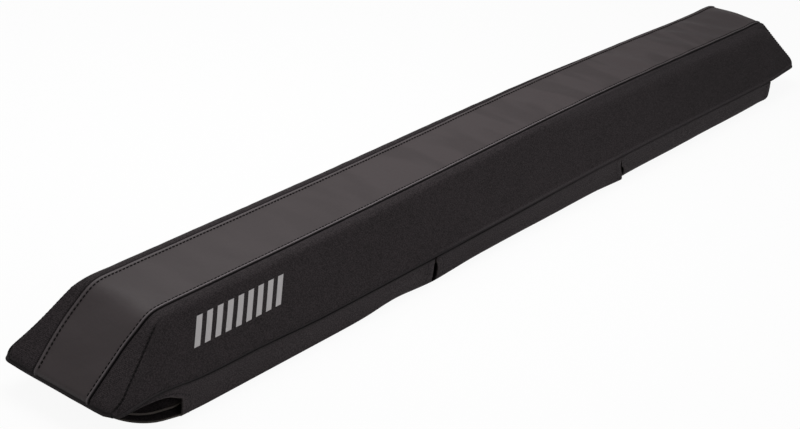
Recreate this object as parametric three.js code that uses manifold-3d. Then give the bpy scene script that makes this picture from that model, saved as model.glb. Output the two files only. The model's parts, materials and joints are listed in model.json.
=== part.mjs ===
// Roof rack pad: a foam wedge in a sewn cover, which wraps one load bar of a roof rack.
// Three flaps hang from each long edge of the cover. They pass under the bar and close
// on each other with hook and loop strips, which leaves a flat channel for the bar.
//
// Millimetres. X runs along the bar, Y across it and +Z up. The origin is under the
// middle of the pad, on the surface that the closed flaps lie on.

import * as THREE from 'three';
import { mergeVertices } from 'three/addons/utils/BufferGeometryUtils.js';
import Module from 'manifold-3d';

// The padded body, measured over its cover and up from its base panel
const PAD_LENGTH = 760;
const BASE_WIDTH = 87;
const BODY_HEIGHT = 42.5;
const SIDE_LEAN = 15;
const SHOULDER_RADIUS = 5.5;
const RAMP_RUN = 42;
const RAMP_TOP_RADIUS = 20;
const NOSE_RISE = 4;
const NOSE_RADIUS = 4;
const PLAN_CORNER_RADIUS = 8;

// The cover
const COVER_THICKNESS = 1.5;
const SEAM_FROM_SHOULDER = 6.5;
const HEM_WIDTH = 4;
const HEM_RISE = 0.5;
const BASE_PANEL_THICKNESS = 1.2;
const BINDING_HEIGHT = 2.6;
const BINDING_DROP = 0.6;
const BINDING_ROUNDING = 0.5;

// The flaps that close under the bar
const CHANNEL_HEIGHT = 18.5;
const FLAP_THICKNESS = 1.2;
const FLAP_STANDS_PROUD = 0.5;
const FOLD_RADIUS = 7;
const FLAP_END_SETBACK = 19;
const FLAP_CORNER_RADIUS = 28.5;
const SLIT_OFFSET = 108;
const SLIT_WIDTH = 1.6;
const SLIT_CORNER_RADIUS = 9;
const OUTER_FLAP_FREE_GAP = 13;
const INNER_FLAP_FREE_GAP = 5.5;
const INNER_FLAP_END_STEP = 0.6;
const INNER_FLAP_LIFT = 4.5;
const INNER_FLAP_LIFT_RUN = 24;
const FLAP_HEM_WIDTH = 8;
const FLAP_HEM_RISE = 0.6;

// Hook and loop closure
const STRIP_WIDTH = 38;
const STRIP_THICKNESS = 1.2;
const STRIP_END_MARGIN = 16;
const STRIP_CORNER_RADIUS = 3;
const STRIP_OFFSET = 4;

const CLEARANCE = 0.3;

// Facets along the round stretches, and the least length of one along the ramps
const CORNER_STEPS = 6;
const SHOULDER_STEPS = 5;
const FOLD_STEPS = 8;
const BINDING_ROUNDING_STEPS = 2;
const SHORTEST_FACET = 0.25;

// The most of its shorter side that a rounded corner takes, and of a flap's wall that its
// fold takes
const CORNER_SHARE = 0.49;
const FOLD_SHARE = 0.9;

// How much of the cover's thickness a round edge loses from its radius on the inside
const INSIDE_ROUNDING_SHARE = 0.5;

// How far a cutting shape reaches past what it cuts, and the distance under which two
// points are one
const CUT_REACH = 5;
const SAME_POINT = 0.001;

const COLOURS = {
  foam: { color: '#2b2d2f', roughness: 0.95, metalness: 0 },
  topCloth: { color: '#4b4d50', roughness: 0.55, metalness: 0 },
  sideCloth: { color: '#2a2c2e', roughness: 0.85, metalness: 0 },
  tape: { color: '#34363a', roughness: 0.8, metalness: 0 },
  hookAndLoop: { color: '#141516', roughness: 1, metalness: 0 },
};

const halfLength = PAD_LENGTH / 2;
const halfBase = BASE_WIDTH / 2;
const leanAngle = Math.atan(SIDE_LEAN / BODY_HEIGHT);
const seamY = halfBase - SIDE_LEAN - SEAM_FROM_SHOULDER;
const panelFoot = BINDING_HEIGHT - BINDING_DROP + CLEARANCE;

const wasm = await Module();
wasm.setup();

// A closed three.js mesh as a solid that can be cut and joined
function toSolid(geometry) {
  const bare = geometry.clone();
  bare.deleteAttribute('normal');
  bare.deleteAttribute('uv');
  const merged = mergeVertices(bare, SAME_POINT);
  return new wasm.Manifold(new wasm.Mesh({
    numProp: 3,
    vertProperties: new Float32Array(merged.attributes.position.array),
    triVerts: new Uint32Array(merged.index.array),
  }));
}

// A cut solid as a three.js geometry
function toGeometry(solid) {
  const mesh = solid.getMesh();
  const geometry = new THREE.BufferGeometry();
  const points = new Float32Array(mesh.numVert * 3);
  for (let vertex = 0; vertex < mesh.numVert; vertex += 1) {
    for (let axis = 0; axis < 3; axis += 1) {
      points[vertex * 3 + axis] = mesh.vertProperties[vertex * mesh.numProp + axis];
    }
  }
  geometry.setAttribute('position', new THREE.BufferAttribute(points, 3));
  geometry.setIndex(Array.from(mesh.triVerts));
  geometry.computeVertexNormals();
  return geometry;
}

// The arc that rounds one corner of an outline, shortened where its two sides are short
function roundedCorner(before, corner, after, radius) {
  const toBefore = before.clone().sub(corner);
  const toAfter = after.clone().sub(corner);
  const halfAngle = Math.abs(toBefore.angleTo(toAfter)) / 2;
  const shorter = Math.min(toBefore.length(), toAfter.length());
  const setback = Math.min(radius / Math.tan(halfAngle), shorter * CORNER_SHARE);
  if (setback < SAME_POINT) {
    return [corner.clone()];
  }
  const trueRadius = setback * Math.tan(halfAngle);
  toBefore.normalize();
  toAfter.normalize();
  const inward = toBefore.clone().add(toAfter).normalize();
  const centre = corner.clone().addScaledVector(inward, trueRadius / Math.sin(halfAngle));
  const first = corner.clone().addScaledVector(toBefore, setback).sub(centre);
  const last = corner.clone().addScaledVector(toAfter, setback).sub(centre);
  const turn = Math.atan2(first.x * last.y - first.y * last.x, first.dot(last));
  const points = [];
  for (let step = 0; step <= CORNER_STEPS; step += 1) {
    const angle = turn * step / CORNER_STEPS;
    points.push(first.clone().rotateAround(new THREE.Vector2(), angle).add(centre));
  }
  return points;
}

// A closed outline through the given corners, each rounded by its own radius
function roundedShape(corners, radii) {
  const count = corners.length;
  const points = corners.flatMap((corner, index) => roundedCorner(
    corners[(index + count - 1) % count], corner, corners[(index + 1) % count], radii[index],
  ));
  return new THREE.Shape(points);
}

function extrudeUp(shape, bottom, top) {
  const geometry = new THREE.ExtrudeGeometry(shape, { depth: top - bottom, bevelEnabled: false });
  return geometry.translate(0, 0, bottom);
}

// A section drawn in Y and Z, run along X
function extrudeAlong(shape, start, end) {
  const geometry = new THREE.ExtrudeGeometry(shape, { depth: end - start, bevelEnabled: false });
  const frame = new THREE.Matrix4().makeBasis(
    new THREE.Vector3(0, 1, 0), new THREE.Vector3(0, 0, 1), new THREE.Vector3(1, 0, 0),
  );
  return geometry.applyMatrix4(frame).translate(start, 0, 0);
}

function block(low, high) {
  const geometry = new THREE.BoxGeometry(high.x - low.x, high.y - low.y, high.z - low.z);
  return geometry.translate((low.x + high.x) / 2, (low.y + high.y) / 2, (low.z + high.z) / 2);
}

// Everything between two heights and two widths, over the whole length
function slab(lowY, highY, lowZ, highZ) {
  const reach = halfLength + CUT_REACH;
  return toSolid(block(new THREE.Vector3(-reach, lowY, lowZ), new THREE.Vector3(reach, highY, highZ)));
}

// The body's side view at one end, from the nose up the ramp to the middle of the top,
// moved inwards by the inset
function endProfile(inset) {
  const rampAngle = Math.atan((BODY_HEIGHT - NOSE_RISE) / RAMP_RUN);
  const noseDrop = inset * Math.tan((Math.PI / 2 - rampAngle) / 2);
  const rampShift = inset * Math.tan(rampAngle / 2);
  const foot = new THREE.Vector2(halfLength - inset, 0);
  const nose = new THREE.Vector2(halfLength - inset, NOSE_RISE - noseDrop);
  const rampTop = new THREE.Vector2(halfLength - RAMP_RUN - rampShift, BODY_HEIGHT - inset);
  const middle = new THREE.Vector2(0, BODY_HEIGHT - inset);
  return [
    foot,
    ...roundedCorner(foot, nose, rampTop, NOSE_RADIUS - inset * INSIDE_ROUNDING_SHARE),
    ...roundedCorner(nose, rampTop, middle, RAMP_TOP_RADIUS - inset),
    middle,
  ];
}

// The height of the side view at a distance from the middle of the pad
function heightAt(profile, x) {
  for (let index = 1; index < profile.length; index += 1) {
    const outer = profile[index - 1];
    const inner = profile[index];
    if (x <= outer.x && x >= inner.x && outer.x > inner.x) {
      const share = (outer.x - x) / (outer.x - inner.x);
      return outer.y + (inner.y - outer.y) * share;
    }
  }
  return profile[profile.length - 1].y;
}

// Half the width of the base at a distance from the middle, with round plan corners
function halfWidthAt(x, inset) {
  const radius = Math.max(PLAN_CORNER_RADIUS - inset, inset);
  const straightEnd = halfLength - inset - radius;
  const past = Math.max(x - straightEnd, 0);
  return halfBase - inset / Math.cos(leanAngle) - radius + Math.sqrt(Math.max(radius ** 2 - past ** 2, 0));
}

// One section across the body: leaning sides, round shoulders and a flat top
function bodySection(width, height, inset) {
  const radius = Math.min(SHOULDER_RADIUS - inset * INSIDE_ROUNDING_SHARE, height);
  const centreZ = height - radius;
  const centreY = width - (radius + centreZ * Math.sin(leanAngle)) / Math.cos(leanAngle);
  const half = [new THREE.Vector2(width, 0)];
  for (let step = 0; step <= SHOULDER_STEPS; step += 1) {
    const angle = leanAngle + (Math.PI / 2 - leanAngle) * step / SHOULDER_STEPS;
    half.push(new THREE.Vector2(centreY + radius * Math.cos(angle), centreZ + radius * Math.sin(angle)));
  }
  const mirrored = half.map((point) => new THREE.Vector2(-point.x, point.y)).reverse();
  return [...half, ...mirrored];
}

// The places along X where the body's form changes, from one end to the other
function bodyStations(profile, inset) {
  const radius = Math.max(PLAN_CORNER_RADIUS - inset, inset);
  const places = profile.map((point) => point.x);
  for (let step = 0; step <= CORNER_STEPS; step += 1) {
    const angle = Math.PI / 2 * step / CORNER_STEPS;
    places.push(halfLength - inset - radius + radius * Math.sin(angle));
  }
  const sorted = places.filter((x) => x > 0).sort((a, b) => b - a);
  const spaced = sorted.filter(
    (x, index) => index === 0 || sorted[index - 1] - x > SHORTEST_FACET,
  );
  return [...spaced.map((x) => -x), ...spaced.reverse()];
}

// The padded body as a loft of sections along X, made smaller all round by the inset
function bodySolid(inset) {
  const profile = endProfile(inset);
  const sections = bodyStations(profile, inset).map((x) => {
    const height = heightAt(profile, Math.abs(x));
    return bodySection(halfWidthAt(Math.abs(x), inset), height, inset).map(
      (point) => new THREE.Vector3(x, point.x, point.y + CHANNEL_HEIGHT),
    );
  });
  const around = sections[0].length;
  const points = sections.flat().flatMap((point) => point.toArray());
  const triangles = [];
  for (let row = 0; row < sections.length - 1; row += 1) {
    for (let column = 0; column < around; column += 1) {
      const next = (column + 1) % around;
      const [a, b] = [row * around + column, row * around + next];
      triangles.push(a, b, a + around, b, b + around, a + around);
    }
  }
  const lastRow = (sections.length - 1) * around;
  for (let column = 1; column < around - 1; column += 1) {
    triangles.push(0, column + 1, column);
    triangles.push(lastRow, lastRow + column, lastRow + column + 1);
  }
  const geometry = new THREE.BufferGeometry();
  geometry.setAttribute('position', new THREE.BufferAttribute(new Float32Array(points), 3));
  geometry.setIndex(triangles);
  return toSolid(geometry);
}

const outerBody = bodySolid(0);
const innerBody = bodySolid(COVER_THICKNESS);
const coverShell = outerBody.subtract(innerBody);

// The foam wedge that fills the cover
function foamCore() {
  const floor = CHANNEL_HEIGHT + BASE_PANEL_THICKNESS + CLEARANCE;
  const room = slab(-halfBase, halfBase, floor, CHANNEL_HEIGHT + BODY_HEIGHT);
  return toGeometry(bodySolid(COVER_THICKNESS + CLEARANCE).intersect(room));
}

// The top panel runs over the top and down both ramps, with a turned hem on each long edge
function topPanel() {
  const foot = CHANNEL_HEIGHT + panelFoot;
  const head = CHANNEL_HEIGHT + BODY_HEIGHT + CUT_REACH;
  const edge = seamY - CLEARANCE / 2;
  const hemInside = seamY - HEM_WIDTH;
  const raised = bodySolid(-HEM_RISE).subtract(innerBody);
  const plain = coverShell.intersect(slab(-edge, edge, foot, head));
  const hems = slab(hemInside, edge, foot, head).add(slab(-edge, -hemInside, foot, head));
  return toGeometry(plain.add(raised.intersect(hems)));
}

// A side panel runs from its seam over the shoulder to the binding, and round both ends
function sidePanel(side) {
  const foot = CHANNEL_HEIGHT + panelFoot;
  const head = CHANNEL_HEIGHT + BODY_HEIGHT + CUT_REACH;
  const inside = seamY + CLEARANCE / 2;
  const outside = halfBase + CUT_REACH;
  const lowY = side < 0 ? -outside : inside;
  const highY = side < 0 ? -inside : outside;
  return toGeometry(coverShell.intersect(slab(lowY, highY, foot, head)));
}

// The outline of the body's foot, seen from above
function footShape(inset) {
  const x = halfLength - inset;
  const y = halfBase - inset;
  const radius = Math.max(PLAN_CORNER_RADIUS - inset, inset);
  const corners = [
    new THREE.Vector2(-x, -y), new THREE.Vector2(x, -y),
    new THREE.Vector2(x, y), new THREE.Vector2(-x, y),
  ];
  return roundedShape(corners, corners.map(() => radius));
}

function basePanel() {
  const shape = footShape(COVER_THICKNESS + CLEARANCE);
  return extrudeUp(shape, CHANNEL_HEIGHT, CHANNEL_HEIGHT + BASE_PANEL_THICKNESS);
}

// The tape that binds the cover's lower edge all round, with rolled edges
function baseBinding() {
  const shape = footShape(BINDING_ROUNDING);
  shape.holes.push(footShape(COVER_THICKNESS - BINDING_ROUNDING));
  const geometry = new THREE.ExtrudeGeometry(shape, {
    depth: BINDING_HEIGHT - 2 * BINDING_ROUNDING,
    bevelEnabled: true,
    bevelThickness: BINDING_ROUNDING,
    bevelSize: BINDING_ROUNDING,
    bevelSegments: BINDING_ROUNDING_STEPS,
  });
  return geometry.translate(0, 0, CHANNEL_HEIGHT - BINDING_DROP + BINDING_ROUNDING);
}

const wallY = halfBase + FLAP_STANDS_PROUD;
const wallTop = CHANNEL_HEIGHT - BINDING_DROP - CLEARANCE;
const loopBottom = FLAP_THICKNESS + CLEARANCE;
const hookBottom = loopBottom + STRIP_THICKNESS + CLEARANCE;
const flapEnd = halfLength - FLAP_END_SETBACK;

// The outer face of a flap that hangs on the near side, from its sewn edge down the
// wall, round the fold and under the bar to its free edge
function flapPath(layerBottom, freeY, lift) {
  const radius = Math.min(FOLD_RADIUS, (wallTop - layerBottom) * FOLD_SHARE);
  const path = new THREE.Path();
  path.moveTo(-wallY, wallTop);
  path.lineTo(-wallY, layerBottom + radius);
  path.absarc(-wallY + radius, layerBottom + radius, radius, Math.PI, 3 * Math.PI / 2, false);
  if (lift > 0) {
    const liftStart = freeY - Math.min(INNER_FLAP_LIFT_RUN, freeY / 2);
    path.lineTo(liftStart, layerBottom);
    path.quadraticCurveTo((liftStart + freeY) / 2, layerBottom, freeY, layerBottom + lift);
  } else {
    path.lineTo(freeY, layerBottom);
  }
  return path.getPoints(FOLD_STEPS);
}

// A sheet of even thickness on the inner side of a path
function sheetShape(path, thickness) {
  const inner = path.map((point, index) => {
    const before = path[Math.max(index - 1, 0)];
    const after = path[Math.min(index + 1, path.length - 1)];
    const along = after.clone().sub(before).normalize();
    return new THREE.Vector2(point.x - along.y * thickness, point.y + along.x * thickness);
  });
  return new THREE.Shape([...path, ...inner.reverse()]);
}

// A flap's cut outline seen from above. Its sewn side stays open to the wall, its outer
// end has large round corners, and its end at a slit is square at the wall.
function flapOutline(flap, freeY, inset) {
  const sewn = -wallY - CUT_REACH;
  const start = flap.start + inset;
  const end = flap.end - inset;
  const free = freeY - inset;
  const outerRadius = Math.max(FLAP_CORNER_RADIUS - inset, inset);
  const slitRadius = Math.max(SLIT_CORNER_RADIUS - inset, 0);
  const startRadius = flap.outerStart ? outerRadius : slitRadius;
  const endRadius = flap.outerEnd ? outerRadius : slitRadius;
  const startTop = new THREE.Vector2(start, -wallY);
  const endTop = new THREE.Vector2(end, -wallY);
  const freeStart = new THREE.Vector2(start, free);
  const freeEnd = new THREE.Vector2(end, free);
  const points = [];
  if (flap.outerStart) {
    points.push(...roundedCorner(freeStart, startTop, endTop, startRadius));
  } else {
    points.push(new THREE.Vector2(start, sewn));
  }
  if (flap.outerEnd) {
    points.push(...roundedCorner(startTop, endTop, freeEnd, endRadius));
  } else {
    points.push(new THREE.Vector2(end, sewn));
  }
  points.push(...roundedCorner(endTop, freeEnd, freeStart, endRadius));
  points.push(...roundedCorner(freeEnd, freeStart, startTop, startRadius));
  return new THREE.Shape(points);
}

// One flap as it hangs on the near side, with a hem turned in along its cut edges
function flapGeometry(flap, layer) {
  const path = flapPath(layer.bottom, layer.freeY, layer.lift);
  const along = (thickness) => toSolid(
    extrudeAlong(sheetShape(path, thickness), flap.start - CUT_REACH, flap.end + CUT_REACH),
  );
  const cutter = (inset) => toSolid(
    extrudeUp(flapOutline(flap, layer.freeY, inset), -CUT_REACH, CHANNEL_HEIGHT + CUT_REACH),
  );
  const cloth = along(FLAP_THICKNESS).intersect(cutter(0));
  const hemRing = cutter(0).subtract(cutter(FLAP_HEM_WIDTH));
  const hem = along(FLAP_THICKNESS + FLAP_HEM_RISE).intersect(hemRing);
  return toGeometry(cloth.add(hem));
}

// The far flaps are the near ones turned half a turn about Z
function onFarSide(geometry) {
  return geometry.rotateZ(Math.PI);
}

// A strip of the closure, centred across the bar where the flaps overlap
function closureStrip(flap, bottom) {
  const start = flap.start + STRIP_END_MARGIN + (flap.outerStart ? FLAP_CORNER_RADIUS / 2 : 0);
  const end = flap.end - STRIP_END_MARGIN - (flap.outerEnd ? FLAP_CORNER_RADIUS / 2 : 0);
  const low = -STRIP_OFFSET - STRIP_WIDTH / 2;
  const high = -STRIP_OFFSET + STRIP_WIDTH / 2;
  const corners = [
    new THREE.Vector2(start, low), new THREE.Vector2(end, low),
    new THREE.Vector2(end, high), new THREE.Vector2(start, high),
  ];
  const shape = roundedShape(corners, corners.map(() => STRIP_CORNER_RADIUS));
  return extrudeUp(shape, bottom, bottom + STRIP_THICKNESS);
}

const slitHalf = SLIT_WIDTH / 2;
const flaps = [
  { name: 'front', start: -flapEnd, end: -SLIT_OFFSET - slitHalf, outerStart: true },
  { name: 'middle', start: -SLIT_OFFSET + slitHalf, end: SLIT_OFFSET - slitHalf },
  { name: 'rear', start: SLIT_OFFSET + slitHalf, end: flapEnd, outerEnd: true },
];
const outerLayer = { bottom: 0, freeY: wallY - OUTER_FLAP_FREE_GAP, lift: 0 };
const innerLayer = {
  bottom: hookBottom + STRIP_THICKNESS + CLEARANCE,
  freeY: wallY - INNER_FLAP_FREE_GAP,
  lift: INNER_FLAP_LIFT,
};

// The far side's flap over the same stretch of the bar, drawn as it is before the half turn
function turned(flap) {
  const step = INNER_FLAP_END_STEP;
  return {
    start: -flap.end + (flap.outerEnd ? step : 0),
    end: -flap.start - (flap.outerStart ? step : 0),
    outerStart: flap.outerEnd,
    outerEnd: flap.outerStart,
  };
}

const pad = new THREE.Group();

function addPart(name, geometry, look) {
  const mesh = new THREE.Mesh(geometry, new THREE.MeshStandardMaterial(look));
  mesh.name = name;
  pad.add(mesh);
}

addPart('foam_core', foamCore(), COLOURS.foam);
addPart('top_panel', topPanel(), COLOURS.topCloth);
addPart('side_panel_near', sidePanel(-1), COLOURS.sideCloth);
addPart('side_panel_far', sidePanel(1), COLOURS.sideCloth);
addPart('base_panel', basePanel(), COLOURS.sideCloth);
addPart('base_binding', baseBinding(), COLOURS.tape);
for (const flap of flaps) {
  const outer = flapGeometry(flap, outerLayer);
  const inner = onFarSide(flapGeometry(turned(flap), innerLayer));
  addPart(`flap_near_${flap.name}`, outer, COLOURS.sideCloth);
  addPart(`flap_far_${flap.name}`, inner, COLOURS.sideCloth);
  addPart(`loop_strip_${flap.name}`, closureStrip(flap, loopBottom), COLOURS.hookAndLoop);
  addPart(`hook_strip_${flap.name}`, closureStrip(flap, hookBottom), COLOURS.hookAndLoop);
}

export default pad;
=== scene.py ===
"""Looks of a roof rack pad: a foam wedge in a sewn cloth cover, with three pairs of flaps
that close under a load bar. Metres, X along the bar, Y across it, +Z up, and the closed
flaps lie on the floor at Z 0.
"""

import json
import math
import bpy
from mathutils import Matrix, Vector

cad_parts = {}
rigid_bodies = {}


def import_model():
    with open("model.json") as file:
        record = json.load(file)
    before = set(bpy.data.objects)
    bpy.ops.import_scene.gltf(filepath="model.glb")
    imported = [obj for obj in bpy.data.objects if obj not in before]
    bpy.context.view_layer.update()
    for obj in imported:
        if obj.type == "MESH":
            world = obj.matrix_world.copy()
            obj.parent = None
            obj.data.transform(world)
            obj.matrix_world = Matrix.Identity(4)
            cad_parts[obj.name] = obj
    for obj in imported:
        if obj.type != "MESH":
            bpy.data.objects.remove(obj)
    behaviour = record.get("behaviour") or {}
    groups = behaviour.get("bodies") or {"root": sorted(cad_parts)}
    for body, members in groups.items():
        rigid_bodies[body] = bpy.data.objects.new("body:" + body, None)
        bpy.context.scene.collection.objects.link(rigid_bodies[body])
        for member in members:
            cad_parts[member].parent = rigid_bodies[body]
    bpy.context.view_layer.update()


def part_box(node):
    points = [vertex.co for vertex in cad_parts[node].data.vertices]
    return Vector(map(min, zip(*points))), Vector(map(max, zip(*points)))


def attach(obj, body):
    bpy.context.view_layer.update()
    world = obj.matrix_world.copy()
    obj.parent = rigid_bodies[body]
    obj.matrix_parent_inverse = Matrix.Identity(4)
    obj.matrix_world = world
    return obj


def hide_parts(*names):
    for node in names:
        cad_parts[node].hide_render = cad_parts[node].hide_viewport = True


bl_info = {
    "name": "Roof rack pad",
    "version": (1, 0, 0),
    "blender": (4, 5, 0),
    "location": "View3D > Sidebar > Rack Pad",
    "description": "Models the cover, foam, flaps and stitching of a padded load bar wrap",
    "category": "Mesh",
}

import bpy
import numpy as np
from mathutils import Euler, Vector, noise
from mathutils.kdtree import KDTree

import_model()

MM = 0.001
BODY = "root"
WHITE = (1, 1, 1, 1)

# A side's sign across the bar, and its word in names
NEAR, FAR = -1, 1
SIDE_WORDS = {NEAR: "near", FAR: "far"}

# What the cloth's points carry for its material: a share of painted shade (in seams and darts, at ends, on
# the side walls' rear, along the flaps' sewn edges and in the front slit) and a share of painted highlight
# (on hem crests, hem ridges, the rear shoulder and cut edges)
PAINTED_SHADE = "painted_shade"
PAINTED_HIGHLIGHT = "painted_highlight"

# Corners of the CAD pieces' boxes, from which the sizes start
cover_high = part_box("side_panel_near")[1]
base_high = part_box("base_binding")[1]
panel_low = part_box("base_panel")[0]
top_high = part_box("top_panel")[1]
wall_low, wall_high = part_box("flap_near_middle")
front_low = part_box("flap_near_front")[0]
inner_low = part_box("flap_far_front")[0]


def length(name, description, default):
    """A size property in metres."""
    return bpy.props.FloatProperty(
        name=name, description=description, default=default, unit="LENGTH", precision=5)


def colour(name, description, default):
    """A colour property, as sRGB hex."""
    return bpy.props.StringProperty(name=name, description=description, default=default)


class PadBodySizes(bpy.types.PropertyGroup):
    """Sizes of the padded body and its cover"""

    half_length: length("Half length", "From the middle to the nose", base_high.x)
    half_base: length("Half base", "Half the width of the base", base_high.y)
    base: length("Base height", "Height of the base above the floor", panel_low.z)
    top: length("Top height", "Height of the cover's top above the floor", cover_high.z)
    lean: length("Side lean", "How far a side leans in from base to top", 15 * MM)
    rear_lean: length("Rear lean", "How much more a side leans in towards the rear", 5.8 * MM)
    shoulder: length("Shoulder radius", "Radius between a side and the top", 5.5 * MM)
    rear_shoulder: length("Rear shoulder radius", "The same towards the rear", 1.6 * MM)
    hip: length("Hip radius", "The same on a ramp, where a dart pulls the cloth in", 2.2 * MM)
    rear_taper: length("Rear taper", "How far the base narrows on each side at the rear end", 4 * MM)
    rear_corner: length("Rear corner radius", "Radius of the base's rear corners seen from above", 8 * MM)
    ramp_run: length("Ramp run", "Length of a ramp seen from above", 42 * MM)
    rear_ramp_radius: length("Rear ramp radius", "Radius between the rear ramp and the top", 7 * MM)
    ramp_top_radius: length("Ramp top radius", "Radius between a ramp and the top", 20 * MM)
    nose_rise: length("Nose rise", "Height of the upright nose under a ramp", 4 * MM)
    nose_radius: length("Nose radius", "Radius between nose and ramp", 4 * MM)
    rear_nose_rise: length("Rear nose rise", "Height and radius of the upright nose at the rear", 1.2 * MM)
    corner: length("Corner radius", "Radius of the base's corners seen from above", 5 * MM)
    seam: length("Seam offset", "From the middle line to the top panel's seam", top_high.y)
    cloth: length("Cloth thickness", "Thickness of the cover's cloth", 1.1 * MM)
    hem_rise: length("Hem rise", "How far the turned hem stands proud", 0.55 * MM)
    seam_depth: length("Seam depth", "How deep a seam is drawn in", 2.1 * MM)
    arch: length("Arch", "How much fuller the foam is past the middle", 3.7 * MM)
    arch_place: length("Arch place", "Where along the bar the foam is fullest", 100 * MM)
    arch_reach: length("Arch reach", "How far the fuller stretch spreads", 180 * MM)
    arch_sink: length("Arch sink", "How far the ends sit below the even height", 2.0 * MM)


class PadFlapSizes(bpy.types.PropertyGroup):
    """Sizes of the flaps and their closure"""

    wall: length("Wall offset", "From the middle line to a flap's outer face", -wall_low.y)
    cloth: length("Cloth thickness", "Thickness of a flap's cloth", 1.1 * MM)
    hem: length("Hem width", "Width of the turned hem along a flap's cut edges", 7 * MM)
    hem_rise: length("Hem rise", "How much thicker the cloth is along a hem", 0.7 * MM)
    end: length("Flap end", "From the middle to the outermost point of an end flap", -front_low.x)
    corner: length("Corner radius", "Radius of an end flap's corner", 28.5 * MM)
    inner_corner: length("Inner corner radius", "The same at a far end flap's free edge", 26.5 * MM)
    slit_corner: length("Slit corner radius", "Radius of a flap's corner beside a slit", 9 * MM)
    slit: length("Slit offset", "From the middle to a slit between two flaps", 108 * MM)
    reach: length("Outer reach", "From the middle line to a near flap's free edge", wall_high.y)
    inner_reach: length("Inner reach", "From the middle line to a far flap's free edge", -inner_low.y)
    inner_layer: length("Inner layer", "Height of a far flap's underside", inner_low.z)
    inner_step: length("Inner step", "How much shorter a far flap's end is", 0.6 * MM)


class PadStitchSizes(bpy.types.PropertyGroup):
    """Sizes of the sewing"""

    pitch: length("Stitch pitch", "From one stitch to the next", 2.8 * MM)
    stitch: length("Stitch length", "Length of thread that shows between two holes", 2.0 * MM)
    thread: length("Thread radius", "Radius of the sewing thread", 0.45 * MM)


class PadFinish(bpy.types.PropertyGroup):
    """Colours and pattern sizes of the finishes"""

    coated: colour("Coated cloth", "Charcoal coated top cloth", "#403A3B")
    woven: colour("Woven cloth", "Black woven side cloth", "#1C191A")
    woven_light: colour("Woven cloth, raised threads", "Light on the weave's raised threads", "#403A3C")
    # Colours of painted highlights, not of the cloth itself: on the top hems' crest, on the woven hems' ridge
    # and the rear shoulder, and on the flaps' cut edges
    crest: colour("Hem crest", "Coated cloth along the top hems' rubbed crest", "#726B6E")
    ridge: colour("Hem ridge", "Woven cloth along a hem's rubbed ridge", "#5D575A")
    edge_highlight: colour("Worn edge", "Grey of a rubbed cut edge", "#5E5853")
    tape: colour("Binding tape", "Black binding tape", "#2B2829")
    thread: colour("Thread", "Black sewing thread", "#0C0B0B")
    flap_thread: colour("Flap thread", "Charcoal sewing thread of the flaps", "#1D1B1C")
    foam: colour("Foam", "Dark closed-cell foam", "#2A2829")
    hook: colour("Hook and loop", "Black hook and loop strip", "#161516")
    print_grey: colour("Print", "Light grey reflective print", "#C9C5C6")
    floor: colour("Floor", "White studio floor", "#F2F2F2")
    weave: length("Weave spacing", "From one thread of the weave to the next", 0.9 * MM)


# Small helpers shared by the pieces


def linear(hex_colour):
    """An sRGB hex colour as linear RGBA."""
    values = [int(hex_colour[place:place + 2], 16) / 255 for place in (1, 3, 5)]
    return [v / 12.92 if v <= 0.04045 else ((v + 0.055) / 1.055) ** 2.4 for v in values] + [1.0]


def smooth_step(value, low, high):
    """0 below low, 1 above high, and a smooth climb between."""
    share = np.clip((value - low) / (high - low), 0, 1)
    return share * share * (3 - 2 * share)


def bump_at(value, centre, width):
    """A smooth bump of height 1 round a centre."""
    return np.exp(-((value - centre) / width) ** 2)


def soft_noise(x, y, scale, seed):
    """Smooth noise from about -1 to 1 at each point of a grid, with features about scale wide."""
    flat = [noise.noise(Vector((a / scale[0], b / scale[1], seed))) for a, b in zip(x.ravel(), y.ravel())]
    return np.array(flat).reshape(x.shape)


def distances_along(line):
    """The distance of each point of a line from its first point."""
    return np.concatenate([[0], np.cumsum(np.linalg.norm(np.diff(line, axis=0), axis=1))])


def deselect_all():
    """Clears the selection before an object is added or chosen."""
    for other in bpy.context.scene.objects:
        other.select_set(False)


def select_only(obj):
    """Makes an object the only selected one, and the active one."""
    deselect_all()
    obj.select_set(True)
    bpy.context.view_layer.objects.active = obj


def apply_modifier(obj, kind, **settings):
    """Adds a modifier with its settings and applies it."""
    select_only(obj)
    modifier = obj.modifiers.new(kind.title(), kind)
    for key, value in settings.items():
        setattr(modifier, key, value)
    bpy.ops.object.modifier_apply(modifier=modifier.name)


def edit_all(obj, operator, **settings):
    """Runs one operator of the edit mode on all of a piece."""
    select_only(obj)
    bpy.ops.object.mode_set(mode="EDIT")
    bpy.ops.mesh.select_all(action="SELECT")
    operator(**settings)
    bpy.ops.object.mode_set(mode="OBJECT")


def face_outwards(obj):
    """Turns a closed piece's faces outwards."""
    edit_all(obj, bpy.ops.mesh.normals_make_consistent, inside=False)


def smooth_faces(obj, angle):
    """Shades a piece smoothly up to an angle between faces."""
    select_only(obj)
    bpy.ops.object.shade_smooth_by_angle(angle=math.radians(angle))


def finish_piece(obj, nodes, material):
    """Gives a finished piece its material in its slot and its body, and hides the CAD nodes that it stands
    for.
    """
    obj.data.materials.clear()
    obj.data.materials.append(material)
    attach(obj, BODY)
    if nodes:
        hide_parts(*nodes)


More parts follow.
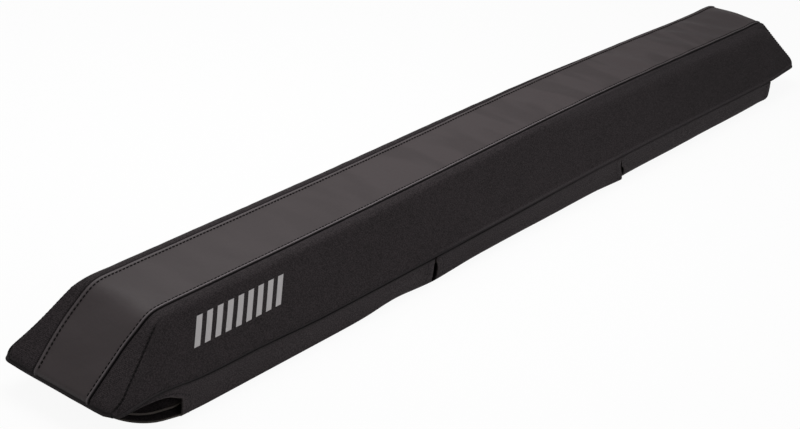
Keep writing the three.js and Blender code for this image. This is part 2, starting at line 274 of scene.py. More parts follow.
def cloth_from_grid(name, points, uv, flip=False, shade=None, edge=None):
    """A sheet through a grid of points: a primitive grid whose vertices are moved to their places.
    Shade is the share of painted shade at each point, and edge the share of painted highlight, from 0 to 1,
    kept for the cloth's material."""
    rows, columns = points.shape[:2]
    deselect_all()
    bpy.ops.mesh.primitive_grid_add(x_subdivisions=rows - 1, y_subdivisions=columns - 1, size=1)
    obj = bpy.context.object
    obj.name = name
    mesh = obj.data
    start = np.zeros(len(mesh.vertices) * 3, np.float32)
    mesh.vertices.foreach_get("co", start)
    start = start.reshape(-1, 3)
    row = np.rint((start[:, 0] + 0.5) * (rows - 1)).astype(int)
    column = np.rint((start[:, 1] + 0.5) * (columns - 1)).astype(int)
    mesh.vertices.foreach_set("co", points[row, column].astype(np.float32).ravel())
    loops = np.zeros(len(mesh.loops), int)
    mesh.loops.foreach_get("vertex_index", loops)
    mesh.uv_layers[0].data.foreach_set("uv", uv[row[loops], column[loops]].astype(np.float32).ravel())
    for key, values in ((PAINTED_SHADE, shade), (PAINTED_HIGHLIGHT, edge)):
        if values is not None:
            attribute = mesh.attributes.new(key, "FLOAT", "POINT")
            spread = (values + np.zeros(points.shape[:2]))[row, column]
            attribute.data.foreach_set("value", spread.astype(np.float32))
    mesh.update()
    if flip:
        edit_all(obj, bpy.ops.mesh.flip_normals)
    return obj


def grid_normals(points):
    """The unit normal at each point of a grid, to the left of its rows and columns."""
    along = np.gradient(points, axis=0)
    across = np.gradient(points, axis=1)
    normal = np.cross(along, across)
    size = np.linalg.norm(normal, axis=2, keepdims=True)
    return normal / np.maximum(size, 1e-12)


def grid_uv(points):
    """A flat UV in metres for a grid: the mean distance along its rows and across its columns."""
    along = np.linalg.norm(np.diff(points, axis=0), axis=2).mean(axis=1)
    across = np.linalg.norm(np.diff(points, axis=1), axis=2)
    u = np.concatenate([[0], np.cumsum(along)])
    v = np.concatenate([np.zeros((len(points), 1)), np.cumsum(across, axis=1)], axis=1)
    return np.stack([np.repeat(u[:, None], points.shape[1], axis=1), v], axis=2)


# The padded body's form


def rounded_corner(before, corner, after, radius, steps=8):
    """The arc that rounds a corner of an outline, as points."""
    before, corner, after = (np.array(p, float) for p in (before, corner, after))
    back, on = before - corner, after - corner
    back, on = back / np.linalg.norm(back), on / np.linalg.norm(on)
    half = math.acos(float(np.clip(back @ on, -1, 1))) / 2
    inward = (back + on) / np.linalg.norm(back + on)
    centre = corner + inward * radius / math.sin(half)
    first = corner + back * radius / math.tan(half) - centre
    last = corner + on * radius / math.tan(half) - centre
    turn = math.atan2(first[0] * last[1] - first[1] * last[0], float(first @ last))
    points = []
    for step in range(steps + 1):
        c, s = math.cos(turn * step / steps), math.sin(turn * step / steps)
        points.append(centre + [first[0] * c - first[1] * s, first[0] * s + first[1] * c])
    return points


def end_profile(body, nose_rise, nose_radius, top_radius):
    """The side view of one end, from the nose's foot up the ramp to the top."""
    height = body.top - body.base
    foot = (body.half_length, 0)
    nose = (body.half_length, nose_rise)
    ramp_top = (body.half_length - body.ramp_run, height)
    middle = (0, height)
    points = [np.array(foot)]
    points += rounded_corner(foot, nose, ramp_top, nose_radius)
    points += rounded_corner(nose, ramp_top, middle, top_radius, 12)
    return np.array(points + [np.array(middle)])


def rear_narrowing(body, x):
    """How far each side of the base is drawn in towards the rear end."""
    return body.rear_taper * smooth_step(x, body.half_length - 50 * MM, body.half_length + 12 * MM)


def half_width_at(body, x):
    """Half the base's width at a place along the bar, with round corners seen from above."""
    corner = np.where(x > 0, body.rear_corner, body.corner)
    past = np.maximum(np.abs(x) - (body.half_length - corner), 0)
    rounded = body.half_base - corner + np.sqrt(np.maximum(corner ** 2 - past ** 2, 0))
    return rounded - rear_narrowing(body, x)


def shoulder_at(body, x):
    """A side's lean and its shoulder's radius at a place along the bar."""
    rearward = float(smooth_step(x, -100 * MM, 210 * MM))
    ramp_top = body.half_length - body.ramp_run
    on_ramp = float(smooth_step(abs(x), ramp_top - 12 * MM, ramp_top + 8 * MM))
    radius = body.shoulder + (body.rear_shoulder - body.shoulder) * rearward
    return body.lean + body.rear_lean * rearward, min(radius, radius + (body.hip - radius) * on_ramp)


def stations(body, spacing):
    """Places along X from nose to nose with the height there, closer together on the ramps,
    and each one's distance from the nearer nose's foot."""
    straight = body.half_length - body.ramp_run - 12 * MM
    middle = np.linspace(-straight, straight, int(round(2 * straight / spacing)) + 1)
    front_x, front_z, front_steps, ramp_length = ramp_stations(
        spacing, straight, end_profile(body, body.nose_rise, body.nose_radius, body.ramp_top_radius))
    rear_x, rear_z, rear_steps, _ = ramp_stations(
        spacing, straight, end_profile(body, body.rear_nose_rise, body.rear_nose_rise, body.rear_ramp_radius))
    x = np.concatenate([-front_x, middle, rear_x[::-1]])
    height = np.concatenate([front_z, np.full(len(middle), body.top - body.base), rear_z[::-1]])
    from_end = np.concatenate([front_steps, ramp_length + straight - np.abs(middle), rear_steps[::-1]])
    return x, height, from_end


def ramp_stations(spacing, straight, profile):
    """Places up one ramp: their distances from the middle, heights and distances from the
    nose's foot, and the ramp's whole length."""
    profile = profile[:-1]
    along = distances_along(profile)
    low_steps = np.array([0, 0.8, 1.6, 2.4, 3.2, 4.0, 5.0]) * MM
    total = float(np.interp(-straight, -profile[:, 0], along)) if profile[-1, 0] <= straight else along[-1]
    climb = np.linspace(low_steps[-1], total, int(round(total / spacing * 1.7)))[1:-1]
    steps = np.concatenate([low_steps, climb])
    return np.interp(steps, along, profile[:, 0]), np.interp(steps, along, profile[:, 1]), steps, total


def side_line(body, x, height, seam):
    """The section from the seam over the shoulder down to the base at one place: its points
    and the distance along it to the middle of the shoulder."""
    lean_in, radius = shoulder_at(body, x)
    lean = math.atan(lean_in / (body.top - body.base))
    width = float(half_width_at(body, x))
    radius = min(radius, height * 0.9)
    centre_z = height - radius
    centre_y = width - (radius + centre_z * math.sin(lean)) / math.cos(lean)
    centre_y = max(centre_y, seam + 0.2 * MM)
    angles = np.linspace(math.pi / 2, lean, 13)
    arc = np.stack([centre_y + radius * np.cos(angles), centre_z + radius * np.sin(angles)], axis=1)
    line = np.concatenate([[[seam, height]], arc, [[width, 0]]])
    along = distances_along(line)
    return line, along, (along[1] + along[13]) / 2


# A side panel's columns: their steps from a seam and up from the foot, and how many lie between
EDGE_STEPS = np.array([0, 0.35, 0.8, 1.4, 2.2]) * MM
FOOT_STEPS = np.array([4.0, 3.0, 2.0, 1.0, 0]) * MM
FLANK_FILL = 2
WALL_FILL = 12


def side_distances(total, shoulder):
    """Distances from the seam at which a side panel has its columns: fine at the seam, at the
    shoulder, where the dart runs, and at the base, and even between."""
    room = shoulder - 2 * EDGE_STEPS[-1]
    flank = EDGE_STEPS[-1] + np.linspace(0, 1, FLANK_FILL + 2)[1:-1] * room
    before = shoulder - EDGE_STEPS[::-1]
    after = shoulder + EDGE_STEPS[1:]
    low = after[-1]
    foot = total - FOOT_STEPS * min(1, (total - low) / (2 * FOOT_STEPS[0]))
    wall = low + np.linspace(0, 1, WALL_FILL + 2)[1:-1] * (foot[0] - low)
    return np.concatenate([EDGE_STEPS, flank, before, after, wall, foot])


# How much of the body's arch its base follows, and how far the front leans over, as a slope
BASE_SHARE = 0.75
FRONT_ROLL = 0.03


def base_lift(body, x):
    """How far the base stands above its even height at a place along the bar."""
    full = -body.arch_sink + body.arch * bump_at(x, body.arch_place, body.arch_reach)
    return full * BASE_SHARE


def near_lift(x):
    """How far the near side's foot is raised towards the front, most of all by the corner."""
    front = 2.3 * MM * smooth_step(-x, 0.21, 0.28) + 4.2 * MM * bump_at(x, -0.353, 0.026)
    return front + 1.3 * MM * smooth_step(x, 0.335, 0.372)


def arched(body, points):
    """Lifts the body where its foam is fuller, and less so at its base."""
    x, y, z = points[..., 0], points[..., 1], points[..., 2]
    share = np.clip((z - body.base) / (body.top - body.base), 0, 1)
    roll = FRONT_ROLL * smooth_step(-x, 0.05, 0.3) * share
    raised = near_lift(x) * smooth_step(-y, 0.029, 0.046) * (1 - share)
    far_corner = smooth_step(-x, 0.35, 0.379) * smooth_step(y, 0.026, 0.043)
    drawn_out = 1.3 * MM * far_corner
    raised = raised + 1.3 * MM * far_corner * (1 - share)
    rear_rim = -0.9 * MM * bump_at(x, 0.29, 0.045) * smooth_step(y, 0, 0.03)
    rear_rim = rear_rim + 0.8 * MM * smooth_step(x, 0.316, 0.332)
    dip = 1.2 * MM * bump_at(x, -0.364, 0.013) * smooth_step(y, 0.028, 0.043) * smooth_step(share, 0, 0.2)
    raised = raised + rear_rim * share - dip
    moved = points.copy()
    moved[..., 0] -= 0.62 * drawn_out
    moved[..., 1] += 0.79 * drawn_out
    moved[..., 2] += base_lift(body, x) * (1 + share * (1 / BASE_SHARE - 1)) + roll * y + raised
    return moved


def wandered(body, points):
    """Lets the top panel's seams run off their straight line on the front ramp, as sewn."""
    x, y = points[..., 0], points[..., 1]
    beside = 1 - smooth_step(np.abs(y), body.seam, body.seam + 14 * MM)
    near = 1.4 * MM * smooth_step(-x, 0.342, 0.357)
    far = 1.5 * MM * bump_at(x, -0.357, 0.013) - 0.9 * MM * smooth_step(-x, 0.369, 0.38)
    moved = points.copy()
    moved[..., 1] += np.where(y < 0, near, far) * beside * smooth_step(np.abs(y), 0, body.seam)
    return moved


def side_grid(body, side, spacing):
    """The grid of one side panel without its relief, its columns' distances from the seam, the
    shoulder's and the base's, and each row's distance from the nearer end."""
    places, heights, from_end = stations(body, spacing)
    rows, distances, shoulders, totals = [], [], [], []
    for x, height in zip(places, heights):
        line, along, shoulder = side_line(body, x, max(height, 0.3 * MM), body.seam)
        shoulder = max(shoulder, 2.2 * EDGE_STEPS[-1])
        across = side_distances(along[-1], shoulder)
        y = np.interp(across, along, line[:, 0]) * side
        z = np.interp(across, along, line[:, 1]) + body.base
        rows.append(np.stack([np.full(len(across), x), y, z], axis=1))
        distances.append(across)
        shoulders.append(shoulder)
        totals.append(along[-1])
    shape = (len(places), 1)
    return (np.array(rows), np.array(distances), np.array(shoulders).reshape(shape),
            np.array(totals).reshape(shape), from_end.reshape(shape))


# How far each row of stitches lies from the top panel's edge
TOPSTITCH = {NEAR: 1.9 * MM, FAR: 2.3 * MM}


def top_columns(body):
    """Places across the top panel, fine at both hems."""
    steps = np.array([0, 0.3, 0.6, 1.0, 1.4, 1.9, 2.3, 2.8, 3.4, 4.2, 5.4]) * MM
    inner = body.seam - steps[-1]
    middle = np.linspace(-inner, inner, 13)[1:-1]
    return np.concatenate([-body.seam + steps, middle, body.seam - steps[::-1]])


def top_grid(body, spacing):
    """The grid of the top panel without its relief, and each row's distance from an end."""
    places, heights, from_end = stations(body, spacing)
    across = top_columns(body)
    x = np.repeat(places[:, None], len(across), axis=1)
    y = np.repeat(across[None, :], len(places), axis=0)
    z = np.repeat(heights[:, None], len(across), axis=1) + body.base
    return np.stack([x, y, z], axis=2), from_end.reshape(-1, 1)


# The cloth's relief: hems, drawn-in seams, puckers and wrinkles


def tuck(distance):
    """How far the cover is drawn in behind the binding, by the distance from its foot."""
    return -0.6 * MM * (1 - smooth_step(distance, 0.3 * MM, 1.3 * MM))


def top_relief(body, points, from_end):
    """How far the top panel stands proud of the even form at each point."""
    x, y = points[..., 0], points[..., 1]
    edge = body.seam - np.abs(y)
    open_side = np.where(y < 0, 1.0, 0.3)
    sewn = np.where(y < 0, TOPSTITCH[NEAR], TOPSTITCH[FAR])
    curl = -body.seam_depth * open_side * (1 - smooth_step(edge, -0.2 * MM, 0.55 * MM))
    hem = body.hem_rise * (1 - smooth_step(edge - sewn, -0.5 * MM, 0.6 * MM))
    stitch = -0.3 * MM * bump_at(edge, sewn, 0.5 * MM)
    crown = 0.7 * MM * np.cos(y / body.seam * math.pi / 2)
    towards_rear = 0.7 + 2.1 * smooth_step(x, -0.22, 0.2)
    across = soft_noise(x + 0.5 * y, y, (0.014, 0.05), 3.1)
    small = soft_noise(x, y, (0.009, 0.012), 8.4)
    away = smooth_step(edge, 2 * MM, 7 * MM)
    wrinkles = (0.65 * MM * across + 0.14 * MM * small) * towards_rear * (0.25 + 0.75 * away)
    on_top = smooth_step(from_end, 6 * MM, 20 * MM)
    return (curl + hem + stitch + crown * on_top + wrinkles * on_top) + tuck(from_end)


def side_relief(body, points, distances, shoulders, totals, from_end, seed):
    """How far a side panel stands proud of the even form at each point."""
    x = points[..., 0]
    open_side = np.where(points[..., 1] < 0, 1.0, 0.3)
    valley = -body.seam_depth * open_side * (1 - smooth_step(distances, 0, 0.8 * MM))
    roll = 0.35 * MM * bump_at(distances, 2.4 * MM, 1.1 * MM)
    pulls = soft_noise(x, distances, (0.0045, 0.03), seed)
    by_seam = bump_at(distances, 3.5 * MM, 6 * MM) * smooth_step(distances, 0.5 * MM, 2 * MM)
    puckers = 0.32 * MM * pulls * by_seam
    ramp_top = body.half_length - body.ramp_run
    on_ramp = smooth_step(np.abs(x), ramp_top - 1 * MM, ramp_top + 7 * MM)
    from_dart = np.abs(distances - shoulders)
    dart = (-0.9 * MM * bump_at(from_dart, 0, 0.6 * MM) + 0.9 * MM * bump_at(from_dart, 0, 5 * MM)) * on_ramp
    wall = np.clip((distances - shoulders) / (totals - shoulders), 0, 1)
    slack = soft_noise(x, distances, (0.05, 0.03), seed + 5)
    ripples = soft_noise(x + 0.3 * distances, distances, (0.014, 0.022), seed + 9)
    wave = (0.7 * MM * slack + 0.22 * MM * ripples) * np.sin(wall * math.pi)
    low = smooth_step(from_end, 4 * MM, 12 * MM)
    even = smooth_step(x, -0.12, -0.02)
    ridge = 0.4 * MM * bump_at(totals - distances, 2.0 * MM, 1.2 * MM) * even
    foot = tuck(np.minimum(totals - distances, from_end)) * (1 - 0.5 * even) + ridge
    return valley + roll + (puckers + wave) * low + dart * smooth_step(from_end, 1 * MM, 5 * MM) + foot


# How long the foam pushes, in frames of the cloth's simulation
SWELL_FRAMES = 20


def swell(obj, held, cap):
    """Fills a sheet with its foam's push: cloth under pressure, held at its seams, with each
    point's move capped."""
    group = obj.vertex_groups.new(name="held")
    for vertex in np.nonzero(held)[0]:
        group.add([int(vertex)], 1.0, "REPLACE")
    count = len(obj.data.vertices)
    start = np.zeros(count * 3, np.float32)
    obj.data.vertices.foreach_get("co", start)
    cloth = obj.modifiers.new("Cloth", "CLOTH")
    settings = cloth.settings
    settings.quality = 6
    settings.mass = 0.25
    settings.tension_stiffness = 25
    settings.compression_stiffness = 12
    settings.shear_stiffness = 12
    settings.bending_stiffness = 1.5
    settings.vertex_group_mass = group.name
    settings.use_pressure = True
    settings.uniform_pressure_force = 4
    settings.effector_weights.gravity = 0
    cloth.point_cache.frame_start = 1
    cloth.point_cache.frame_end = SWELL_FRAMES
    for step in range(1, SWELL_FRAMES + 1):
        bpy.context.scene.frame_set(step)
    evaluated = obj.evaluated_get(bpy.context.evaluated_depsgraph_get())
    end = np.zeros(count * 3, np.float32)
    evaluated.data.vertices.foreach_get("co", end)
    obj.modifiers.remove(cloth)
    bpy.context.scene.frame_set(1)
    start, end = start.reshape(-1, 3), end.reshape(-1, 3)
    move = end - start
    size = np.linalg.norm(move, axis=1, keepdims=True)
    capped = move * (cap * np.tanh(size / cap) / np.maximum(size, 1e-9))
    obj.data.vertices.foreach_set("co", (start + capped).astype(np.float32).ravel())
    obj.data.update()
    obj.vertex_groups.remove(group)


def thicken(obj, thickness):
    """Gives a sheet one subdivision and its cloth's thickness, inwards."""
    apply_modifier(obj, "SUBSURF", levels=1, render_levels=1, boundary_smooth="PRESERVE_CORNERS")
    apply_modifier(obj, "SOLIDIFY", thickness=thickness, offset=-1, use_rim=True)


# Materials, each named for what the real one is


def add_node(tree, kind, inputs=None, output=0, **settings):
    """Adds a shader node with its settings. Its inputs go by name or number, each with the socket
    or the plain value that it gets. Gives one of its outputs, or all of them where output is None."""
    node = tree.nodes.new("ShaderNode" + kind)
    for key, value in settings.items():
        setattr(node, key, value)
    for key, value in (inputs or {}).items():
        if isinstance(value, bpy.types.NodeSocket):
            tree.links.new(value, node.inputs[key])
        else:
            node.inputs[key].default_value = value
    return node.outputs if output is None else node.outputs[output]


def new_tree(name):
    """A new material and its empty node tree."""
    material = bpy.data.materials.new(name)
    material.use_nodes = True
    material.node_tree.nodes.clear()
    return material, material.node_tree


def surface(tree, inputs):
    """Adds the shader with its inputs, and the output that it goes to."""
    shader = add_node(tree, "BsdfPrincipled", inputs)
    add_node(tree, "OutputMaterial", {"Surface": shader}, None)


def per_metre(size):
    """A texture's scale on coordinates in metres, from the real size of one feature."""
    return 1.0 / size


def brighter(colour, factor):
    """A linear colour times a factor."""
    return [min(1, value * factor) for value in colour[:3]] + [1.0]


def turned_to(tree, attribute, most, base, colour):
    """A colour that turns to another by one of the mesh's attributes, and by a share at most."""
    share = add_node(tree, "Attribute", None, "Fac", attribute_name=attribute)
    share = add_node(tree, "Math", {0: share, 1: most}, operation="MULTIPLY")
    return add_node(tree, "Mix", {0: share, 6: base, 7: colour}, 2, data_type="RGBA")


def threads(tree, uv, spacing):
    """Plain weave on a UV in metres: raised threads that cross over and under, from 0 to 1."""
    parts = add_node(tree, "SeparateXYZ", {"Vector": uv}, None)
    waves = []
    for axis in "XY":
        phase = add_node(tree, "Math", {0: parts[axis], 1: math.pi / spacing}, operation="MULTIPLY")
        wave = add_node(tree, "Math", {0: phase}, operation="SINE")
        waves.append(add_node(tree, "Math", {0: wave}, operation="ABSOLUTE"))
    return add_node(tree, "Math", {0: waves[0], 1: waves[1]}, operation="MULTIPLY")


def painted_fold_shading(tree, place):
    """Faint folds across the top as painted light and shade: paler and darker stripes in the colour, which
    grow towards the rear."""
    turned = add_node(tree, "Mapping", {
        "Vector": place, "Rotation": (0, 0, math.radians(-25)), "Scale": (1, 0.25, 1)})
    folds = add_node(tree, "TexNoise", {
        "Vector": turned, "Scale": per_metre(18 * MM), "Detail": 1.0, "Roughness": 0.55})
    folds = add_node(tree, "MapRange", {
        "Value": folds, "From Min": 0.4, "From Max": 0.6, "To Min": -0.5, "To Max": 0.5})
    x = add_node(tree, "SeparateXYZ", {"Vector": place}, "X")
    strength = add_node(tree, "MapRange", {
        "Value": x, "From Min": -250 * MM, "From Max": 150 * MM, "To Min": 0.495, "To Max": 2.915})
    return add_node(tree, "Math", {0: folds, 1: strength}, operation="MULTIPLY")


def coated_cloth(name, finish):
    """Polyester with a satin coating: an even charcoal with a soft, faintly rippled gloss."""
    material, tree = new_tree(name)
    place = add_node(tree, "TexCoord", None, "Object")
    patterns = {}
    for pattern, size, detail in (("broad", 28 * MM, 3.0), ("grain", 1.1 * MM, 2.0), ("ripple", 7 * MM, 2.0)):
        patterns[pattern] = add_node(tree, "TexNoise", {
            "Vector": place, "Scale": per_metre(size), "Detail": detail, "Roughness": 0.55})
    dark = linear(finish.coated)
    share = painted_fold_shading(tree, place)
    for pattern, weight in (("broad", 0.6), ("grain", 0.4)):
        share = add_node(tree, "Math", {0: patterns[pattern], 1: weight, 2: share}, operation="MULTIPLY_ADD")
    base = add_node(tree, "Mix", {0: share, 6: dark, 7: brighter(dark, 1.16)}, 2, data_type="RGBA")
    # Painted highlight along the top hems' crest, then painted shade, near black in the thread's colour,
    # along the seams and at the ends
    base = turned_to(tree, PAINTED_HIGHLIGHT, 0.9, base, linear(finish.crest))
    base = turned_to(tree, PAINTED_SHADE, 0.9, base, linear(finish.thread))
    rough = add_node(tree, "MapRange", {"Value": patterns["broad"], "To Min": 0.5, "To Max": 0.64})
    height = add_node(tree, "Math", {0: patterns["grain"], 1: 0.12, 2: patterns["ripple"]},
                      operation="MULTIPLY_ADD")
    normal = add_node(tree, "Bump", {"Height": height, "Distance": 0.35 * MM, "Strength": 0.6})
    surface(tree, {"Base Color": base, "Roughness": rough, "IOR": 1.48, "Specular IOR Level": 0.22,
                   "Normal": normal})
    return material


# The print: its place along the bar and in height, a bar's share of the pitch, and the slant
PRINT_PITCH = 8.35 * MM
PRINT_START = -40 * PRINT_PITCH
PRINT_END = PRINT_START + 8.55 * PRINT_PITCH
PRINT_FOOT = 35 * MM
PRINT_TOP = 50 * MM
PRINT_BAR = 0.55
PRINT_SLANT = 0.45


def printed_bars(tree, place):
    """A plain row of slanted bars, as reflective print has: 1 on a bar and 0 between, on the
    near side's wall by its place in metres."""
    parts = add_node(tree, "SeparateXYZ", {"Vector": place}, None)
    slanted = add_node(tree, "Math", {0: parts["Z"], 1: -PRINT_SLANT, 2: parts["X"]},
                       operation="MULTIPLY_ADD")
    phase = add_node(tree, "Math", {0: slanted, 1: per_metre(PRINT_PITCH)}, operation="MULTIPLY")
    phase = add_node(tree, "Math", {0: phase}, operation="FRACT")
    bars = add_node(tree, "Math", {0: phase, 1: PRINT_BAR}, operation="LESS_THAN")
    for value, low, high in ((slanted, PRINT_START, PRINT_END), (parts["Z"], PRINT_FOOT, PRINT_TOP)):
        for operation, limit in (("GREATER_THAN", low), ("LESS_THAN", high)):
            inside = add_node(tree, "Math", {0: value, 1: limit}, operation=operation)
            bars = add_node(tree, "Math", {0: bars, 1: inside}, operation="MULTIPLY")
    return bars


def woven_cloth(name, finish, lift=1.0, printed=False, rubbed=None):
    """Woven polyester: near black, with a fine weave whose raised threads catch the light, where given a
    painted highlight along hem ridges, the shoulder and cut edges, and painted shade in seams."""
    material, tree = new_tree(name)
    place = add_node(tree, "TexCoord", None, None)
    weave = threads(tree, place["UV"], finish.weave)
    mottle = add_node(tree, "TexNoise", {
        "Vector": place["Object"], "Scale": per_metre(0.72 * MM), "Detail": 2.0, "Roughness": 0.6})
    speckle = add_node(tree, "MapRange", {"Value": mottle, "From Min": 0.41, "From Max": 0.59})
    broad = add_node(tree, "TexNoise", {
        "Vector": place["Object"], "Scale": per_metre(35 * MM), "Detail": 3.0, "Roughness": 0.55})
    dark, light = (brighter(linear(shade), lift) for shade in (finish.woven, finish.woven_light))
    share = -0.1
    for pattern, weight in ((weave, 0.35), (speckle, 0.6), (broad, 0.2)):
        share = add_node(tree, "Math", {0: pattern, 1: weight, 2: share}, operation="MULTIPLY_ADD")
    base = add_node(tree, "Mix", {0: share, 6: dark, 7: light}, 2, data_type="RGBA")
    if printed:
        bar = add_node(tree, "Math", {0: printed_bars(tree, place["Object"]), 1: 0.92}, operation="MULTIPLY")
        base = add_node(tree, "Mix", {0: bar, 6: base, 7: linear(finish.print_grey)}, 2, data_type="RGBA")
    # Painted highlight along hem ridges, the rear shoulder and cut edges
    if rubbed:
        base = turned_to(tree, PAINTED_HIGHLIGHT, 0.55, base, linear(rubbed))
    # Painted shade, near black in the thread's colour: in seams and darts, at ends, on the walls' rear, along
    # the flaps' sewn edges and in the front slit
    base = turned_to(tree, PAINTED_SHADE, 0.9, base, linear(finish.thread))
    height = add_node(tree, "Math", {0: speckle, 1: 0.5, 2: weave}, operation="MULTIPLY_ADD")
    normal = add_node(tree, "Bump", {"Height": height, "Distance": 0.12 * MM, "Strength": 0.7})
    surface(tree, {"Base Color": base, "Roughness": 0.78, "IOR": 1.45, "Specular IOR Level": 0.12,
                   "Normal": normal})
    return material


def binding_tape(name, finish):
    """Grosgrain polyester tape: black, with fine ribs across it."""
    material, tree = new_tree(name)
    place = add_node(tree, "TexCoord", None, None)
    u = add_node(tree, "SeparateXYZ", {"Vector": place["UV"]}, "X")
    phase = add_node(tree, "Math", {0: u, 1: math.pi / (1.1 * MM)}, operation="MULTIPLY")
    wave = add_node(tree, "Math", {0: phase}, operation="SINE")
    ribs = add_node(tree, "Math", {0: wave}, operation="ABSOLUTE")
    speckle = add_node(tree, "TexNoise", {
        "Vector": place["Object"], "Scale": per_metre(1.3 * MM), "Detail": 3.0, "Roughness": 0.55})
    dark = linear(finish.tape)
    share = add_node(tree, "Math", {0: ribs, 1: speckle}, operation="MULTIPLY")
    base = add_node(tree, "Mix", {0: share, 6: dark, 7: brighter(dark, 1.5)}, 2, data_type="RGBA")
    normal = add_node(tree, "Bump", {"Height": ribs, "Distance": 0.15 * MM, "Strength": 0.6})
    surface(tree, {"Base Color": base, "Roughness": 0.8, "Specular IOR Level": 0.1, "Normal": normal})
    return material


def sewing_thread(name, shade):
    """Bonded polyester thread: black with a faint twist and a soft gloss."""
    material, tree = new_tree(name)
    place = add_node(tree, "TexCoord", None, "Object")
    twist = add_node(tree, "TexNoise", {
        "Vector": place, "Scale": per_metre(0.5 * MM), "Detail": 1.0, "Roughness": 0.55})
    dark = linear(shade)
    base = add_node(tree, "Mix", {0: twist, 6: dark, 7: brighter(dark, 2.2)}, 2, data_type="RGBA")
    surface(tree, {"Base Color": base, "Roughness": 0.65, "Specular IOR Level": 0.1})
    return material


def small_celled(name, size, depth, strength, middle, rim, roughness):
    """A matt surface of small cells or tufts of a real size, with the colours of their middles
    and rims and the depth of their relief."""
    material, tree = new_tree(name)
    place = add_node(tree, "TexCoord", None, "Object")
    cells = add_node(tree, "TexVoronoi", {"Vector": place, "Scale": per_metre(size)}, "Distance")
    base = add_node(tree, "Mix", {0: cells, 6: middle, 7: rim}, 2, data_type="RGBA")
    normal = add_node(tree, "Bump", {"Height": cells, "Distance": depth, "Strength": strength})
    surface(tree, {"Base Color": base, "Roughness": roughness, "Normal": normal})
    return material


def closed_cell_foam(name, finish):
    """Closed-cell foam: dark grey and matt, with a skin of small cells."""
    dark = linear(finish.foam)
    return small_celled(name, 1.5 * MM, 0.2 * MM, 0.5, dark, brighter(dark, 1.5), 0.9)


def hook_and_loop(name, finish):
    """Nylon hook and loop tape: black, with a nap of small hooks or loops."""
    dark = linear(finish.hook)
    return small_celled(name, 1.4 * MM, 0.6 * MM, 0.8, brighter(dark, 2.4), dark, 0.85)


def seen_directly(tree, *rays):
    """1 for the rays of a light path that show a surface as it is, and 0 for those that light."""
    path = add_node(tree, "LightPath", None, None)
    seen = path[rays[0]]
    for ray in rays[1:]:
        seen = add_node(tree, "Math", {0: seen, 1: path[ray]}, operation="MAXIMUM")
    return seen


def studio_floor(name, finish):
    """Painted studio board: seen white by the camera, with a faint shadow under the object."""
    material, tree = new_tree(name)
    board = add_node(tree, "BsdfPrincipled", {
        "Base Color": linear(finish.floor), "Roughness": 0.9, "Specular IOR Level": 0.0})
    white = add_node(tree, "Emission", {"Color": WHITE, "Strength": 1.0})
    seen = seen_directly(tree, "Is Camera Ray", "Is Glossy Ray", "Is Transmission Ray")
    share = add_node(tree, "Math", {0: seen, 1: 0.93}, operation="MULTIPLY")
    mixed = add_node(tree, "MixShader", {0: share, 1: board, 2: white})
    add_node(tree, "OutputMaterial", {"Surface": mixed}, None)
    return material


def shared_material(name, make, looks, **more):
    """A material by its name, made from its looks the first time that it is asked for."""
    return bpy.data.materials.get(name) or make(name, looks, **more)


# The pieces


class RACKPAD_OT_foam(bpy.types.Operator):
    """Models the foam wedge inside the cover"""

    bl_idname = "rackpad.foam"
    bl_label = "Foam core"

    def execute(self, context):
        body = context.scene.rackpad_body
        inset = 3.2 * MM
        places, heights, _ = stations(body, 12 * MM)
        rows = []
        for x, height in zip(places, np.maximum(heights, 4 * MM)):
            line = side_line(body, x, height, body.seam)[0]
            ring = np.concatenate([line, line[::-1] * [-1, 1], line[:1]])
            width = abs(ring[:, 0]).max()
            y = ring[:, 0] * (width - inset) / width
            z = body.base + inset + ring[:, 1] * max(0, 1 - 2 * inset / height)
            x_in = x * (body.half_length - inset - 2 * MM) / body.half_length
            rows.append(np.stack([np.full(len(ring), x_in), y, z], axis=1))
        points = arched(body, np.array(rows))
        obj = cloth_from_grid("foam_wedge", points, grid_uv(points))
        edit_all(obj, bpy.ops.mesh.remove_doubles, threshold=0.05 * MM)
        bpy.ops.object.mode_set(mode="EDIT")
        bpy.ops.mesh.select_all(action="DESELECT")
        bpy.ops.mesh.select_non_manifold()
        bpy.ops.mesh.fill_holes(sides=0)
        bpy.ops.object.mode_set(mode="OBJECT")
        face_outwards(obj)
        smooth_faces(obj, 50)
        material = shared_material("closed_cell_foam", closed_cell_foam, context.scene.rackpad_finish)
        finish_piece(obj, ["foam_core"], material)
        return {"FINISHED"}


# How far apart the cover's rows lie along the bar
COVER_SPACING = 5 * MM


def cover_panel(body, name, points, relief, side, held, cap, shade, rubbed):
    """One panel of the cover: its grid with its relief, filled by the foam's push."""
    outward = grid_normals(points) * side
    shaped = wandered(body, points + outward * relief[..., None])
    obj = cloth_from_grid(name, shaped, grid_uv(points), flip=side < 0, shade=shade, edge=rubbed)
    tree = KDTree(shaped.size // 3)
    for index, point in enumerate(shaped.reshape(-1, 3)):
        tree.insert(point, index)
    tree.balance()
    nearest = [tree.find(vertex.co)[1] for vertex in obj.data.vertices]
    swell(obj, held.ravel()[nearest], cap)
    return obj


